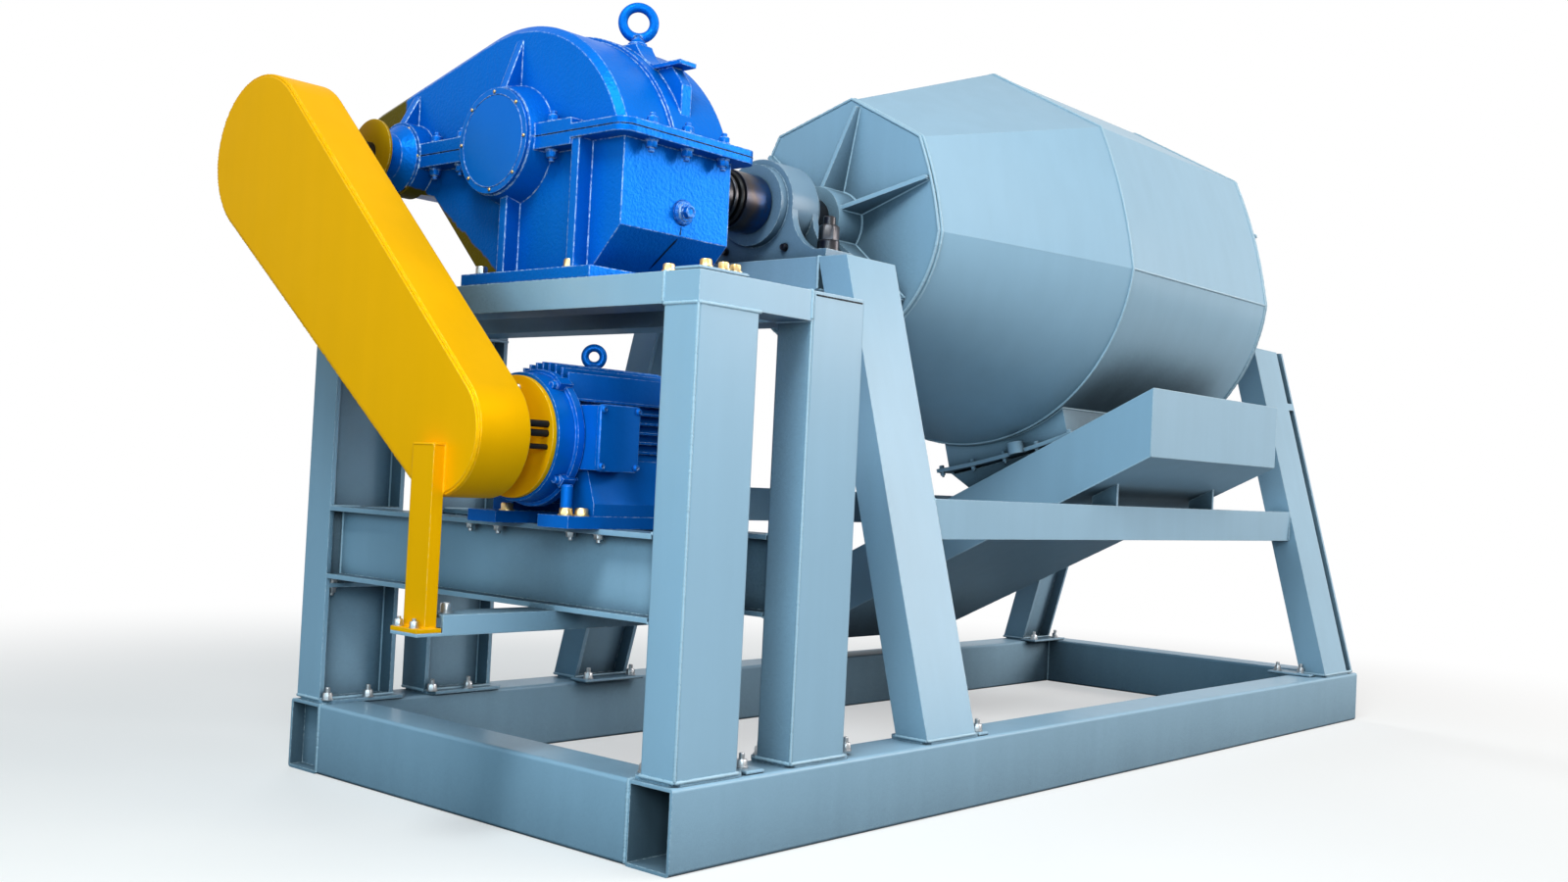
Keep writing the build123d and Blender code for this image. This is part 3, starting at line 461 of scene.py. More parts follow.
(platform_x0, _, platform_z0), (_, _, platform_z1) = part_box("platform_beam_front")
stiffener_z = platform_z0 - stiffener_drop
stiffener_places = [(x0 + 0.034, y0 + 0.022, z) for (x0, y0, _), _ in far_columns
                    for z in (stiffener_z, stiffener_z + stiffener)]
fasten("stiffener_bolts", hex_bolt(0.024, 0.014, tip=0.008), stiffener_places, zinc, [downward, upward] * 2)
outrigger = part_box("guard_outrigger")
outrigger_places = [(outrigger[0][0] + 0.115, middle(outrigger)[1], outrigger[1][2])]
fasten("outrigger_bolt", hex_bolt(0.026, 0.020), outrigger_places, zinc)

# Stand top: a small plate lies on the frame's near corner with brass-coloured bolts through it, and
# the near right column shows its welded end plate with a dark strip under it, as painted shadow in the gap.
brass = metal("yellow zinc plate", (0.72, 0.50, 0.20, 1), 0.20, stain=(0.45, 0.42, 0.36, 1), stained=0.8)
# A near-black enamel: painted shadow in gaps and slots, and the dark sealant in the gearbox's split.
shadow_gap = painted("open joint and painted gap shadow", (0.012, 0.018, 0.022, 1), 0.7, pale=(0.03, 0.04, 0.05, 1), edge_light=0.1)
(end_x0, end_y0, _), (end_x1, _, end_z1) = near_columns[1]
corner_x, corner_y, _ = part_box("stand_beam_near")[0]
corner_height = 0.009
gap_z = end_z1 - 0.010
plates("corner_plate", [((corner_x, corner_y, end_z1), (0.165, 0.085, corner_height))])
top_bolts = [(corner_x + 0.018, corner_y + 0.121, end_z1)]
top_bolts += [(corner_x + along, corner_y + 0.022, end_z1 + corner_height) for along in (0.040, 0.099, 0.140)]
fasten("stand_top_bolts", hex_bolt(0.026, 0.016), top_bolts, brass)
gap_path = [(end_x0 + 0.012, end_y0, gap_z), (end_x1 - 0.010, end_y0, gap_z)]
beads("column_end_gap_shadow", [gap_path], radius=0.0022, ripple=0.012, material=shadow_gap)

# Trestles and side rails: sloping legs with a beam across their tops, and tubes between them.
# They are made of the same welded and enamelled steel as the base, and bolted to it at their feet.
finish_nodes(enamel, *[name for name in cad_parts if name.startswith(("trestle_", "rail_"))])
leg_depth = 0.108
leg_width = 0.234
(_, trestle_y0, base_top), (near_left_x1, _, _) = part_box("trestle_left_leg_near")
near_right_x0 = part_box("trestle_right_leg_near")[0][0]
foot_z = base_top + foot_plate
trestle_paths = []
trestle_bolts = []
trestle_tabs = []
for side in ("left", "right"):
    (x0, near_y0, _), (near_x1, _, _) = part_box(f"trestle_{side}_leg_near")
    foot_x1 = near_x1 - plate_margin if side == "left" else near_x1
    far_y1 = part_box(f"trestle_{side}_leg_far")[1][1]
    far_y0 = far_y1 - leg_depth
    x1 = x0 + leg_width
    trestle_paths += [whole_loop(((x0, near_y0, foot_z), (foot_x1, near_y0 + leg_depth, foot_z)), 2, foot_z),
                      whole_loop(((x0, far_y0, foot_z), (x1, far_y1, foot_z)), 2, foot_z)]
    trestle_paths += end_loops(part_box(f"trestle_{side}_beam"), 1)
    trestle_bolts += [(x0 + 0.013, far_y0 - 0.052, foot_z), (x1 - 0.024, far_y0 - 0.048, foot_z)]
    trestle_tabs.append(((x0 - 0.020, far_y0 - 0.080, base_top), (leg_width + 0.030, 0.080, foot_plate)))
trestle_bolts += [(near_left_x1 + 0.013, trestle_y0 + 0.025, foot_z), (near_right_x0 - 0.026, -0.589, foot_z),
                  (near_right_x0 - 0.006, -0.680, foot_z)]
trestle_tabs += [((near_left_x1 - 0.010, trestle_y0 + 0.002, base_top), (0.050, 0.080, foot_plate)),
                 ((near_right_x0 - 0.060, -0.740, base_top), (0.100, 0.180, foot_plate))]
trestle_paths += end_loops(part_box("rail_near"), 0) + end_loops(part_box("rail_far"), 0)
beads("trestle_welds", trestle_paths, radius=0.0045)
plates("trestle_foot_tabs", trestle_tabs)
fasten("trestle_foot_bolts", foot_bolt, trestle_bolts, zinc)

# Bearing housings: iron castings bolted to the trestles, each with a round cover on both
# sides. They are enamelled a little darker than the frame, over a slightly rough cast skin, and
# are held by large oiled bolts that stand in the pockets of their feet.
cast_enamel = painted("cast iron enamel", (0.185, 0.30, 0.41, 1), 0.42, peel_size=120.0, peel_depth=0.00020,
                      edge_light=0.75, edge_radius=0.005)
dark_steel = metal("oiled steel", (0.045, 0.045, 0.052, 1), 0.20)
finish_nodes(cast_enamel, "bearing_left", "bearing_right")
shaft_lo, shaft_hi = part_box("drum_shaft_left")
_, axis_y, axis_z = middle((shaft_lo, shaft_hi))
foot_height = 0.034
cover_radius = 0.128
cover_length = 0.030
hold_down_y = 0.246
clip_y = 0.125
clip_rise = 0.046
seal_paths = []
hold_downs = []
clip_places = []
foot_paths = []


def circle_across(centre, radius, count, start=0.0):
    """Places evenly round a circle across X."""
    angle = start + np.arange(count) * 2 * pi / count
    x, y, z = centre
    return np.stack([np.full(count, x), y + radius * np.cos(angle), z + radius * np.sin(angle)], axis=-1)


for side in ("left", "right"):
    (x0, y0, z0), (x1, y1, z1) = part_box("bearing_" + side)
    faces_x = (x0 + cover_length, x1 - cover_length)
    seal_paths += [circle_across((x, axis_y, axis_z), cover_radius + 0.001, 96) for x in faces_x]
    hold_downs += [((x0 + x1) / 2, axis_y + way * hold_down_y, z0 + foot_height) for way in (-1, 1)]
    clip_places += [(x, axis_y + way * clip_y, z0 + clip_rise) for x in faces_x for way in (-1, 1)]
    foot_paths.append(whole_loop(((faces_x[0], y0, z0), (faces_x[1], y1, z0)), 2, z0, inset=0))
beads("bearing_cover_seals", seal_paths, radius=0.0022, ripple=0.012, material=cast_enamel, closed=True)
beads("bearing_foot_welds", foot_paths, radius=0.004)
hold_down = circles((0, 0), (0, 0.034), (0.030, 0.034), (0.034, 0.030))
hold_down += [(0.034, 0.029, 0.032), (0.075, 0.029, 0.032), (0.081, 0.029, 0.026)]
hold_down += circles((0.081, 0.019), (0.104, 0.019), (0.108, 0.016), (0.108, 0))
fasten("bearing_hold_downs", hold_down, hold_downs, dark_steel)
clip_ways = [to_left, to_left, (1, 0, 0), (1, 0, 0)] * 2
fasten("bearing_clip_screws", hex_bolt(0.020, 0.012), clip_places, dark_steel, clip_ways)

# Drum: a tapered half and a straight half of steel plate. Flat plates are welded side by side
# over the top and a rolled plate closes the bottom, so the top shows facets and the bottom is
# round. It is sprayed glossier than the frame.
drum_enamel = painted("drum enamel", frame_colour, 0.36, wave_depth=0.0012, peel_depth=0.00005)
finish_nodes(drum_enamel, "drum_cone", "drum_barrel", "drum_end_left", "drum_end_right", "hatch_neck",
             "hatch_cover")
(cone_x0, _, _), (ring_x, _, _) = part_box("drum_cone")
barrel_x1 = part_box("drum_barrel")[1][0]
drum_radius = 0.686
drum_end_radius = 0.424
drum_turn = radians(6)
flat_angle = radians(45)
side_crown = 0.018
end_wall = 0.016
on_drum = {"slot": "drum_paint", "body": "drum"}


def drum_reach(angle, radius):
    """The drum's distance from its axis. Over the upper half it is the flats' distance divided by the
    cosine from the nearest flat's middle, and the near side plate swells by a parabola; below it is
    the plain radius."""
    angle = np.mod(angle + pi, 2 * pi) - pi
    off = np.mod(angle, flat_angle) - flat_angle / 2
    flat = radius * cos(flat_angle / 2) / np.cos(off)
    swell = side_crown * radius / drum_radius * (1 - (off / (flat_angle / 2)) ** 2)
    flat = flat + np.where((angle >= flat_angle) & (angle < 2 * flat_angle), swell, 0)
    return np.where(np.abs(angle) <= 2 * flat_angle, flat, radius)


def around_axis(x, angle, reach):
    """Points at places along the axis, angles from the top to the near side, and distances from it."""
    y, z = axis_y - reach * np.sin(angle), axis_z + reach * np.cos(angle)
    return np.stack(np.broadcast_arrays(x, y, z), axis=-1)


around = np.linspace(-pi, pi, 361)[:-1]
full_ring = drum_reach(around, drum_radius)
small_ring = drum_reach(around, drum_end_radius)
drum_rings = ((ring_x, full_ring), (cone_x0, small_ring + 0.001), (cone_x0 - end_wall, small_ring - 0.002),
              (barrel_x1, full_ring), (barrel_x1 + end_wall, full_ring - 0.002))
drum_paths = [around_axis(x, around + drum_turn, ring) for x, ring in drum_rings]
beads("drum_ring_welds", drum_paths, radius=0.0048, closed=True, **on_drum)
seam_ends = np.array([ring_x, barrel_x1])
seams = [around_axis(seam_ends, drum_turn + way * 2 * flat_angle, drum_radius) for way in (1, -1)]
beads("drum_plate_welds", seams, radius=0.004, **on_drum)

hub_radius = 0.112
hub_length = 0.120
rib_count = 6
rib_turn = radians(11)
rib_thickness = 0.014
rib_margin = 0.030
rib_tip = 0.020
rib_paths = []
hub_rings = []
drum_faces = ((cone_x0 - end_wall, -1, drum_end_radius), (barrel_x1 + end_wall, 1, drum_radius))
for face_x, way, radius in drum_faces:
    hub_rings.append(around_axis(face_x, around[::3], hub_radius))
    rim = radius - rib_margin
    for angle in rib_turn + np.arange(rib_count) * 2 * pi / rib_count:
        foot = around_axis(face_x, angle, np.array([hub_radius, rim]))
        hub_xs = np.array([face_x, face_x + way * (hub_length - rib_thickness)])
        hub = around_axis(hub_xs, angle, np.full(2, hub_radius))
        for side in (-1, 1):
            aside = side * rib_thickness / 2 * np.array([0, -cos(angle), -sin(angle)])
            rib_paths += [foot + aside, hub + aside]
        rib_paths.append(around_axis(np.array([face_x, face_x + way * rib_tip]), angle, np.full(2, rim)))
beads("drum_rib_welds", rib_paths, radius=0.0035, **on_drum)
beads("drum_hub_welds", hub_rings, radius=0.0045, closed=True, **on_drum)

# Hatch: a square neck welded through the drum's lower side, closed by a dished cover on a plate
# that follows the drum's curve. Small bolts hold the plate round its edge.
hatch_angle = radians(165)
hatch_reach = 0.732
hatch_plate = 0.014
hatch_crown = 0.013
hatch_half = 0.258
hatch_overhang = 0.034
bolt_line = 0.019
(neck_x0, _, _), (neck_x1, _, _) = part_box("hatch_neck")


def on_hatch(x, across, out):
    """Places in the hatch's own directions: along the axis, across the hatch, and outwards from the axis."""
    y = axis_y + across * cos(hatch_angle) - out * sin(hatch_angle)
    z = axis_z + across * sin(hatch_angle) + out * cos(hatch_angle)
    return np.stack(np.broadcast_arrays(x, y, z), axis=-1)


def saddle_out(across, reach):
    """The hatch plate's height over its width: a parabola that rises by the crown in the middle."""
    return reach + hatch_crown * (1 - (across / (hatch_half + hatch_overhang)) ** 2)


def round_neck(out_at):
    """A path round the neck's outline, whose distance from the axis is a function of the place across it."""
    across = np.linspace(-hatch_half, hatch_half, 25)
    sides = [on_hatch(neck_x0, across, out_at(across)), on_hatch(neck_x1, across[::-1], out_at(across[::-1]))]
    return np.concatenate(sides)


neck_paths = [round_neck(lambda across: np.sqrt(drum_radius ** 2 - across ** 2)),
              round_neck(lambda across: saddle_out(across, hatch_reach))]
beads("hatch_neck_welds", neck_paths, radius=0.0042, closed=True, **on_drum)
edge_across = hatch_half + bolt_line
edge_x0, edge_x1 = neck_x0 - bolt_line, neck_x1 + bolt_line
along_edge = np.linspace(edge_x0, edge_x1, 5)
across_edge = np.linspace(-edge_across, edge_across, 5)[1:-1]
bolt_xs = np.concatenate([along_edge, along_edge, np.full(3, edge_x0), np.full(3, edge_x1)])
bolt_across = np.concatenate([np.full(5, -edge_across), np.full(5, edge_across), across_edge, across_edge])
bolt_seats = on_hatch(bolt_xs, bolt_across, saddle_out(bolt_across, hatch_reach))
nut_seats = on_hatch(bolt_xs, bolt_across, saddle_out(bolt_across, hatch_reach + hatch_plate))
outward = on_hatch(0, 0, 1.0) - on_hatch(0, 0, 0.0)
hatch_bolts = together([stamp(hex_bolt(0.017, 0.010, washer=0.002), bolt_seats, -outward),
                        stamp(hex_bolt(0.017, 0.010, washer=0.002, tip=0.006), nut_seats, outward)])
make_piece("hatch_bolts", hatch_bolts, drum_enamel, **on_drum)

# Shafts: turned steel, oiled dark by use. A blued sleeve sits beside the near bearing between a
# black rubber ring and a black seal, and a narrow steel collar sits on the shaft before it.
rubber = painted("black rubber", (0.012, 0.012, 0.013, 1), 0.5, pale=(0.05, 0.05, 0.05, 1), edge_light=0.3)
finish_nodes(dark_steel, "drum_shaft_left", "drum_shaft_right", "input_shaft", "motor_shaft")
sleeve_lo, sleeve_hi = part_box("shaft_coupling")
sleeve_radius = (sleeve_hi[2] - sleeve_lo[2]) / 2
shaft_radius = (shaft_hi[2] - shaft_lo[2]) / 2
ring_gap = 0.001
sleeve_tints = ((0.0, (0.030, 0.036, 0.055, 1)), (0.30, (0.060, 0.050, 0.050, 1)),
                (0.55, (0.022, 0.040, 0.090, 1)), (0.75, (0.010, 0.055, 0.17, 1)),
                (1.0, (0.010, 0.075, 0.24, 1)))


def blued_sleeve():
    """Steel tempered in a flame: brown at the gearbox end, dark blue, then bright blue at the bearing."""
    material, tree, shader = new_material("blued sleeve steel")
    here = object_place(tree)
    along = add(tree, "SeparateXYZ", {0: here}).outputs[0]
    drift = calc(tree, "MULTIPLY_ADD", noise(tree, here, 14.0, 4.0), 0.07, -0.035)
    share = ranged(tree, calc(tree, "ADD", along, drift), sleeve_lo[0], sleeve_hi[0])
    ramp = add(tree, "ValToRGB", {0: share})
    tints = ramp.color_ramp.elements
    tints[0].color, tints[1].color = sleeve_tints[0][1], sleeve_tints[-1][1]
    for at, colour in sleeve_tints[1:-1]:
        tints.new(at).color = colour
    values = {"Metal": ramp.outputs[0], "Stain": (0.05, 0.04, 0.04, 1), "Stained": 0.5, "Polish": 0.22}
    place_skin(tree, shader, metal_skin, values)
    shader.inputs["Metallic"].default_value = 0.9
    return material


def washer(inner, outer, width, round_by):
    """The profile of a ring of square section with its outer corners drawn in."""
    edge = outer - round_by
    return [(0, inner), (0, edge), (round_by, outer), (width - round_by, outer), (width, edge), (width, inner)]


def bored(profile, place, steps=72):
    """A turned ring along X. Its last circle is joined to its first, and that is its bore."""
    points, _ = stamp(circles(*profile), [place], (1, 0, 0), steps=steps)
    return points, grid_faces(len(profile), steps, round_rows=True, round_columns=True)


finish_nodes(blued_sleeve(), "shaft_coupling")
bore = shaft_radius + ring_gap
black_ring = bored(washer(bore, sleeve_radius - 0.006, 0.014, 0.004), (sleeve_lo[0] - 0.014, axis_y, axis_z))
seal = bored(washer(bore, sleeve_radius - 0.004, 0.0045, 0.001), (sleeve_hi[0], axis_y, axis_z))
collar_profile = washer(shaft_radius - 0.002, shaft_radius + 0.007, 0.012, 0.002)
collar = bored(collar_profile, (sleeve_lo[0] - 0.034, axis_y, axis_z))
make_piece("sleeve_rings", together([black_ring, seal]), rubber, "coupling_steel", "drum")
make_piece("shaft_collar", collar, dark_steel, "shaft_steel", "drum")

# Gearbox: cast iron halves bolted together at a split flange, on a foot. They are sprayed
# saturated blue over a hammered cast skin, whose ribs and lips are painted pale as painted highlights.
# A dark bead of sealant shows in the split, and oil has run from the plug. The bolts are painted with the
# castings.
blue_colour = (0.0015, 0.148, 0.62, 1)
blue_pale = (0.62, 0.82, 1.0, 1)
cast_look = {"pale": blue_pale, "peel_size": 120.0, "peel_depth": 0.0014, "edge_light": 1.0,
             "edge_radius": 0.006, "sheen": 0.02, "shelter": 0.45, "varnish": 0.0, "metallic": 0.25}
blue_cast = painted("gearbox hammered blue", blue_colour, 0.26, **cast_look)
blue_guard_shaded = painted("gearbox blue with painted guard shade", blue_colour, 0.26, **cast_look)
blue_smooth = painted("motor blue", blue_colour, 0.24, pale=blue_pale, peel_size=90.0, peel_depth=0.0003,
                      edge_radius=0.003, sheen=0.03, shelter=0.45, varnish=0.06, metallic=0.25)
oil = painted("oil streak", (0.004, 0.022, 0.06, 1), 0.12, pale=(0.01, 0.05, 0.12, 1), tone=0.3,
              edge_light=0.1)
gear_x0, gear_x1 = -1.786, -1.401
gear_foot_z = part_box("gearbox_base")[0][2] + 0.030
# Painted shade from the guard on the gearbox wall that faces it: its dark olive-yellow tint, and where it
# lies.
guard_shade_colour = (0.115, 0.085, 0.006, 1)
guard_shade_y = 0.512
guard_shade_z = 1.416
guard_shade_rise = 0.714
guard_shade_edge = 0.008
guard_shade_waver = 0.030
guard_shade_depth = (0.030, 0.020)


def lay_guard_shade(material):
    """A dark olive-yellow painted on the wall that faces the guard, as painted shade from the guard with a
    yellow tint, beyond a line across it and below a line that rises along it. A noise moves both lines about."""
    tree = material.node_tree
    shader = tree.nodes["Principled BSDF"]
    here = object_place(tree)
    x, y, z = add(tree, "SeparateXYZ", {0: here}).outputs
    ragged = noise(tree, here, 30.0, 4.0)
    over = calc(tree, "MULTIPLY_ADD", y, -guard_shade_rise, calc(tree, "MULTIPLY_ADD", ragged, guard_shade_waver, z))
    along = calc(tree, "MULTIPLY_ADD", ragged, guard_shade_waver, y)
    below = ranged(tree, over, guard_shade_z, guard_shade_z - guard_shade_edge)
    beyond = ranged(tree, along, guard_shade_y, guard_shade_y + guard_shade_edge)
    on_wall = ranged(tree, x, gear_x0 + guard_shade_depth[0], gear_x0 + guard_shade_depth[1])
    above_foot = calc(tree, "GREATER_THAN", z, gear_foot_z + 0.001)
    either = calc(tree, "MAXIMUM", below, beyond)
    share = calc(tree, "MULTIPLY", either, calc(tree, "MULTIPLY", on_wall, above_foot))
    under = shader.inputs["Base Color"].links[0].from_socket
    tree.links.new(blend_colours(tree, share, under, guard_shade_colour), shader.inputs["Base Color"])


lay_guard_shade(blue_guard_shaded)
finish_nodes(blue_guard_shaded, "gearbox_cover", "gearbox_base")
finish_nodes(blue_smooth, "gearbox_output_cap")
cap_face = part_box("gearbox_output_cap")[0][0]
cover_lo, cover_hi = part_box("gearbox_cover")
input_y = middle(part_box("input_shaft"))[1]
input_face = gear_x0 - 0.055
input_screw_ring = 0.094
screw_ring = 0.129
ridge_inset = 0.007
cap_edge = 0.1405
lip_reach = 0.052
lip_half = 0.018
lip_corner = 0.040
lug_half = 0.034
flange_bolt_xs = (-1.719, -1.594, -1.459)
lug_bolt_ys = (-0.185, 0.195, 0.310, 0.600)
foot_nut_xs = (-1.822, -1.365)
near_wall = cover_lo[1] + lip_reach
on_gearbox = {"material": blue_cast, "slot": "gearbox_paint"}

screw_places = [circle_across((cap_face, axis_y, axis_z), screw_ring, 8, pi / 2),
                circle_across((input_face, input_y, axis_z), input_screw_ring, 6, pi / 3)]
fasten("gearbox_cap_screws", button_screw(0.0048, 0.0040), np.concatenate(screw_places), brass, to_left)
cap_lines = [circle_across((cap_face, axis_y, axis_z), screw_ring - ridge_inset, 120),
             circle_across((cap_face + 0.010, axis_y, axis_z), cap_edge, 120)]
beads("gearbox_cap_rings", cap_lines, radius=0.0016, ripple=0.02, closed=True, **on_gearbox)

flange_bolt = hex_bolt(0.028, 0.017, washer=0.004, tip=0.011)
over_lip = [(x, cover_lo[1] + lip_reach / 2, axis_z + lip_half) for x in flange_bolt_xs]
over_lip += [(x, y, axis_z + lug_half) for x in (gear_x0 - lip_reach / 2, gear_x1 + lip_reach / 2)
             for y in lug_bolt_ys]
under_lip = [(x, y, 2 * axis_z - z) for x, y, z in over_lip]
flange_bolts = together([stamp(flange_bolt, over_lip, upward), stamp(flange_bolt, under_lip, downward)])
make_piece("gearbox_flange_bolts", flange_bolts, **on_gearbox)
foot_nut = hex_bolt(0.030, 0.020, washer=0.004)
for name, y, plating in (("gearbox_foot_nuts_gold", -0.289, brass), ("gearbox_foot_nuts_steel", 0.066, zinc)):
    fasten(name, foot_nut, [(x, y, gear_foot_z) for x in foot_nut_xs], plating)


def rounded_outline(width, height, corner, per_corner=6):
    """A rectangle with round corners: quarter circles about four centres, joined by straight sides."""
    angle = np.concatenate([np.linspace(0, pi / 2, per_corner) + k * pi / 2 for k in range(4)])
    centres = np.repeat([(1, 1), (-1, 1), (-1, -1), (1, -1)], per_corner, axis=0)
    bend = corner * np.stack([np.cos(angle), np.sin(angle)], axis=-1)
    return centres * (width / 2 - corner, height / 2 - corner) + bend


def slab(size, corner, levels, centre, across, up):
    """A plate with round corners. Each level is a height and how far the outline is drawn in there;
    the first and last level close to the middle."""
    width, height = size
    across, up = np.asarray(across, float), np.asarray(up, float)
    rows = [rounded_outline(width - 2 * inset, height - 2 * inset, corner - inset) for _, inset in levels]
    rows = np.array([rows[0] * 0] + rows + [rows[0] * 0])
    heights = np.array([levels[0][0]] + [h for h, _ in levels] + [levels[-1][0]])[:, None, None]
    points = np.asarray(centre) + rows[..., :1] * across + rows[..., 1:] * up + heights * np.cross(across, up)
    return points.reshape(-1, 3), grid_faces(len(rows), rows.shape[1], round_columns=True)


lip_width = 2 * lip_reach + gear_x1 - gear_x0
sealant_path = rounded_outline(lip_width, cover_hi[1] - cover_lo[1] - 0.010, lip_corner)
sealant_middle = ((gear_x0 + gear_x1) / 2, (cover_lo[1] + cover_hi[1]) / 2 - 0.005, axis_z)
sealant_path = np.pad(sealant_path, ((0, 0), (0, 1))) + sealant_middle
beads("gearbox_sealant", [sealant_path], radius=0.0014, ripple=0.015, material=shadow_gap,
      slot="gearbox_paint", closed=True)

plug_x, plug_z = -1.572, 1.581
plug_boss = circles((0, 0), (0, 0.034), (0.007, 0.032), (0.010, 0.028), (0.010, 0))
plug_head = circles((0.010, 0), (0.010, 0.023), (0.014, 0.023))
plug_head += [(0.014, 0.015, 0.0168), (0.028, 0.015, 0.0168), (0.031, 0.015, 0.0150)]
plug_head += circles((0.031, 0.0105), (0.029, 0.0095), (0.029, 0))
plug_place = [(plug_x, near_wall, plug_z)]
plug = together([stamp(rings, plug_place, to_near, steps=48) for rings in (plug_boss, plug_head)])
make_piece("gearbox_oil_plug", plug, **on_gearbox)
drip_steps = ((0.002, 0, 0.030), (0.006, 0, 0.062), (0.020, 0.040, 0.104), (0.032, 0.083, 0.149))
drip = [(plug_x - left, near_wall + back, plug_z - down) for left, back, down in drip_steps]
beads("oil_drip", [drip], radius=0.0024, ripple=0.05, material=oil, slot="gearbox_paint")

# Lifting eye: a forged ring on a collar, screwed into the gearbox's top rib and painted with it.
# It stands in for the plain eye of the CAD model.
eye_lo, eye_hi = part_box("gearbox_eye")
eye_x, eye_y, _ = middle((eye_lo, eye_hi))
eye_radius = 0.042
eye_wire = 0.013


def eye_ring(centre, turn, radius, wire, steps=56, sides=18):
    """A forged ring: a round bar carried round an upright circle, a little thicker towards its foot."""
    u, v = np.meshgrid(np.arange(steps) * 2 * pi / steps, np.arange(sides) * 2 * pi / sides, indexing="ij")
    thick = wire * (1 + 0.10 * (np.clip(-np.sin(u), 0, 1)) ** 2)
    reach = radius + thick * np.cos(v)
    flat, rise, aside = reach * np.cos(u), reach * np.sin(u), thick * np.sin(v)
    x = centre[0] + flat * cos(turn) - aside * sin(turn)
    y = centre[1] + flat * sin(turn) + aside * cos(turn)
    points = np.stack([x, y, centre[2] + rise], axis=-1).reshape(-1, 3)
    return points, grid_faces(steps, sides, round_rows=True, round_columns=True)[:, ::-1]


eye_centre = (eye_x, eye_y, eye_hi[2] - eye_radius - eye_wire)
eye_collar = circles((0, 0), (0, 0.026), (0.006, 0.026), (0.010, 0.021), (0.018, 0.0165), (0.026, 0.0155),
                     (0.026, 0))
lifting_eye = together([eye_ring(eye_centre, radians(-40), eye_radius, eye_wire),
                        stamp(eye_collar, [(eye_x, eye_y, eye_lo[2])], upward, steps=32)])
eye_piece = make_piece("lifting_eye", lifting_eye, **on_gearbox)
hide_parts("gearbox_eye")

# Motor: an iron frame with cooling fins between a flanged shield and a fan cowl, on slide
# bars. Blue like the gearbox, with a smoother skin. Its terminal box has a screwed lid.
finish_nodes(blue_smooth, "motor_body", "motor_shield", "motor_cowl", "motor_terminal_box",
             "motor_slide_base")
shield_x0, shield_x1 = [corner[0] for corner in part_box("motor_shield")]
cowl_lo, cowl_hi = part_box("motor_cowl")
_, motor_y, motor_z = middle((cowl_lo, cowl_hi))
on_motor = {"material": blue_smooth, "slot": "gearbox_paint"}
shield_bolt_ring = 0.160
shield_bolts = circle_across((shield_x0 + 0.030, motor_y, motor_z), shield_bolt_ring, 4, radians(38))
fasten("motor_shield_bolts", hex_bolt(0.019, 0.012), shield_bolts, ways=to_left, **on_motor)
motor_lines = [circle_across((x, motor_y, motor_z), radius, 120)
               for x, radius in ((shield_x0 + 0.050, 0.1585), (shield_x1, 0.1660), (cowl_lo[0], 0.1600))]
beads("motor_rings", motor_lines, radius=0.0022, ripple=0.02, closed=True, **on_motor)

(box_x0, box_y0, box_z0), (box_x1, _, box_z1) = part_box("motor_terminal_box")
box_middle = ((box_x0 + box_x1) / 2, box_y0, (box_z0 + box_z1) / 2)
lid_proud = 0.006
lid_size = (box_x1 - box_x0 + lid_proud, box_z1 - box_z0 + lid_proud)
lid_levels = ((-lid_proud, 0.0), (0.004, 0.0), (lid_proud, 0.002))
lid = slab(lid_size, 0.012, lid_levels, box_middle, (1, 0, 0), upward)
make_piece("terminal_box_lid", lid, sharp=25, **on_motor)
lid_screws = [(box_middle[0] + way_x * 0.056, box_y0 - lid_proud, box_middle[2] + way_z * 0.068)
              for way_x in (-1, 1) for way_z in (-1, 1)]
fasten("terminal_box_screws", button_screw(0.0090, 0.0075), lid_screws, ways=to_near, **on_motor)

motor_eye_x, motor_eye_z, motor_top = -1.733, 1.196, 1.163
motor_eye = together([eye_ring((motor_eye_x, motor_y, motor_eye_z), radians(-42), 0.0230, 0.0098, 40, 14),
                      stamp(circles((0, 0), (0, 0.020), (0.006, 0.020), (0.012, 0.012), (0.012, 0)),
                            [(motor_eye_x, motor_y, motor_top)], upward, steps=32)])
make_piece("motor_lifting_eye", motor_eye, **on_motor)

bar_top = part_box("motor_slide_base")[1][2]
stud = circles((0.018, 0), (0.018, 0.0145), (0.070, 0.0145), (0.074, 0.011), (0.074, 0))
bar_nuts = [(-1.925, -0.442, bar_top), (-1.899, -0.468, bar_top), (-1.908, -0.200, bar_top)]
fasten("motor_jacking_stud", stud, bar_nuts[:1], **on_motor)
fasten("motor_foot_nuts", hex_bolt(0.030, 0.016), bar_nuts, brass)
platform_nut_ys = (0.038, -0.076, -0.359, -0.462)
platform_nuts = [(platform_x0 + 0.024, y, platform_z1 - 0.013) for y in platform_nut_ys]
fasten("platform_nuts", hex_bolt(0.022, 0.011, tip=0.008), platform_nuts, zinc, downward)
# Dark rings on the cowl's face, as painted shade standing for the grille's slots.
grille = [bored(washer(r, r + 0.007, 0.0012, 0.0004), (cowl_hi[0], motor_y, motor_z), steps=64)
          for r in np.arange(0.036, 0.140, 0.015)]
make_piece("cowl_grille_slot_shadows", together(grille), shadow_gap, "gearbox_paint")

# Belt guard: folded sheet steel, welded round its face and sprayed safety yellow, on a welded leg
# that stands on the outrigger. The discs behind it have the same yellow; the gearbox's one is painted
# darker, as painted shade behind the guard.
yellow = painted("guard yellow", (0.98, 0.46, 0.0008, 1), 0.34, pale=(1.0, 0.80, 0.25, 1), tone=0.07,
                 edge_light=0.5, sheen=0.01, shelter=0.10, varnish=0.0, metallic=0.2)
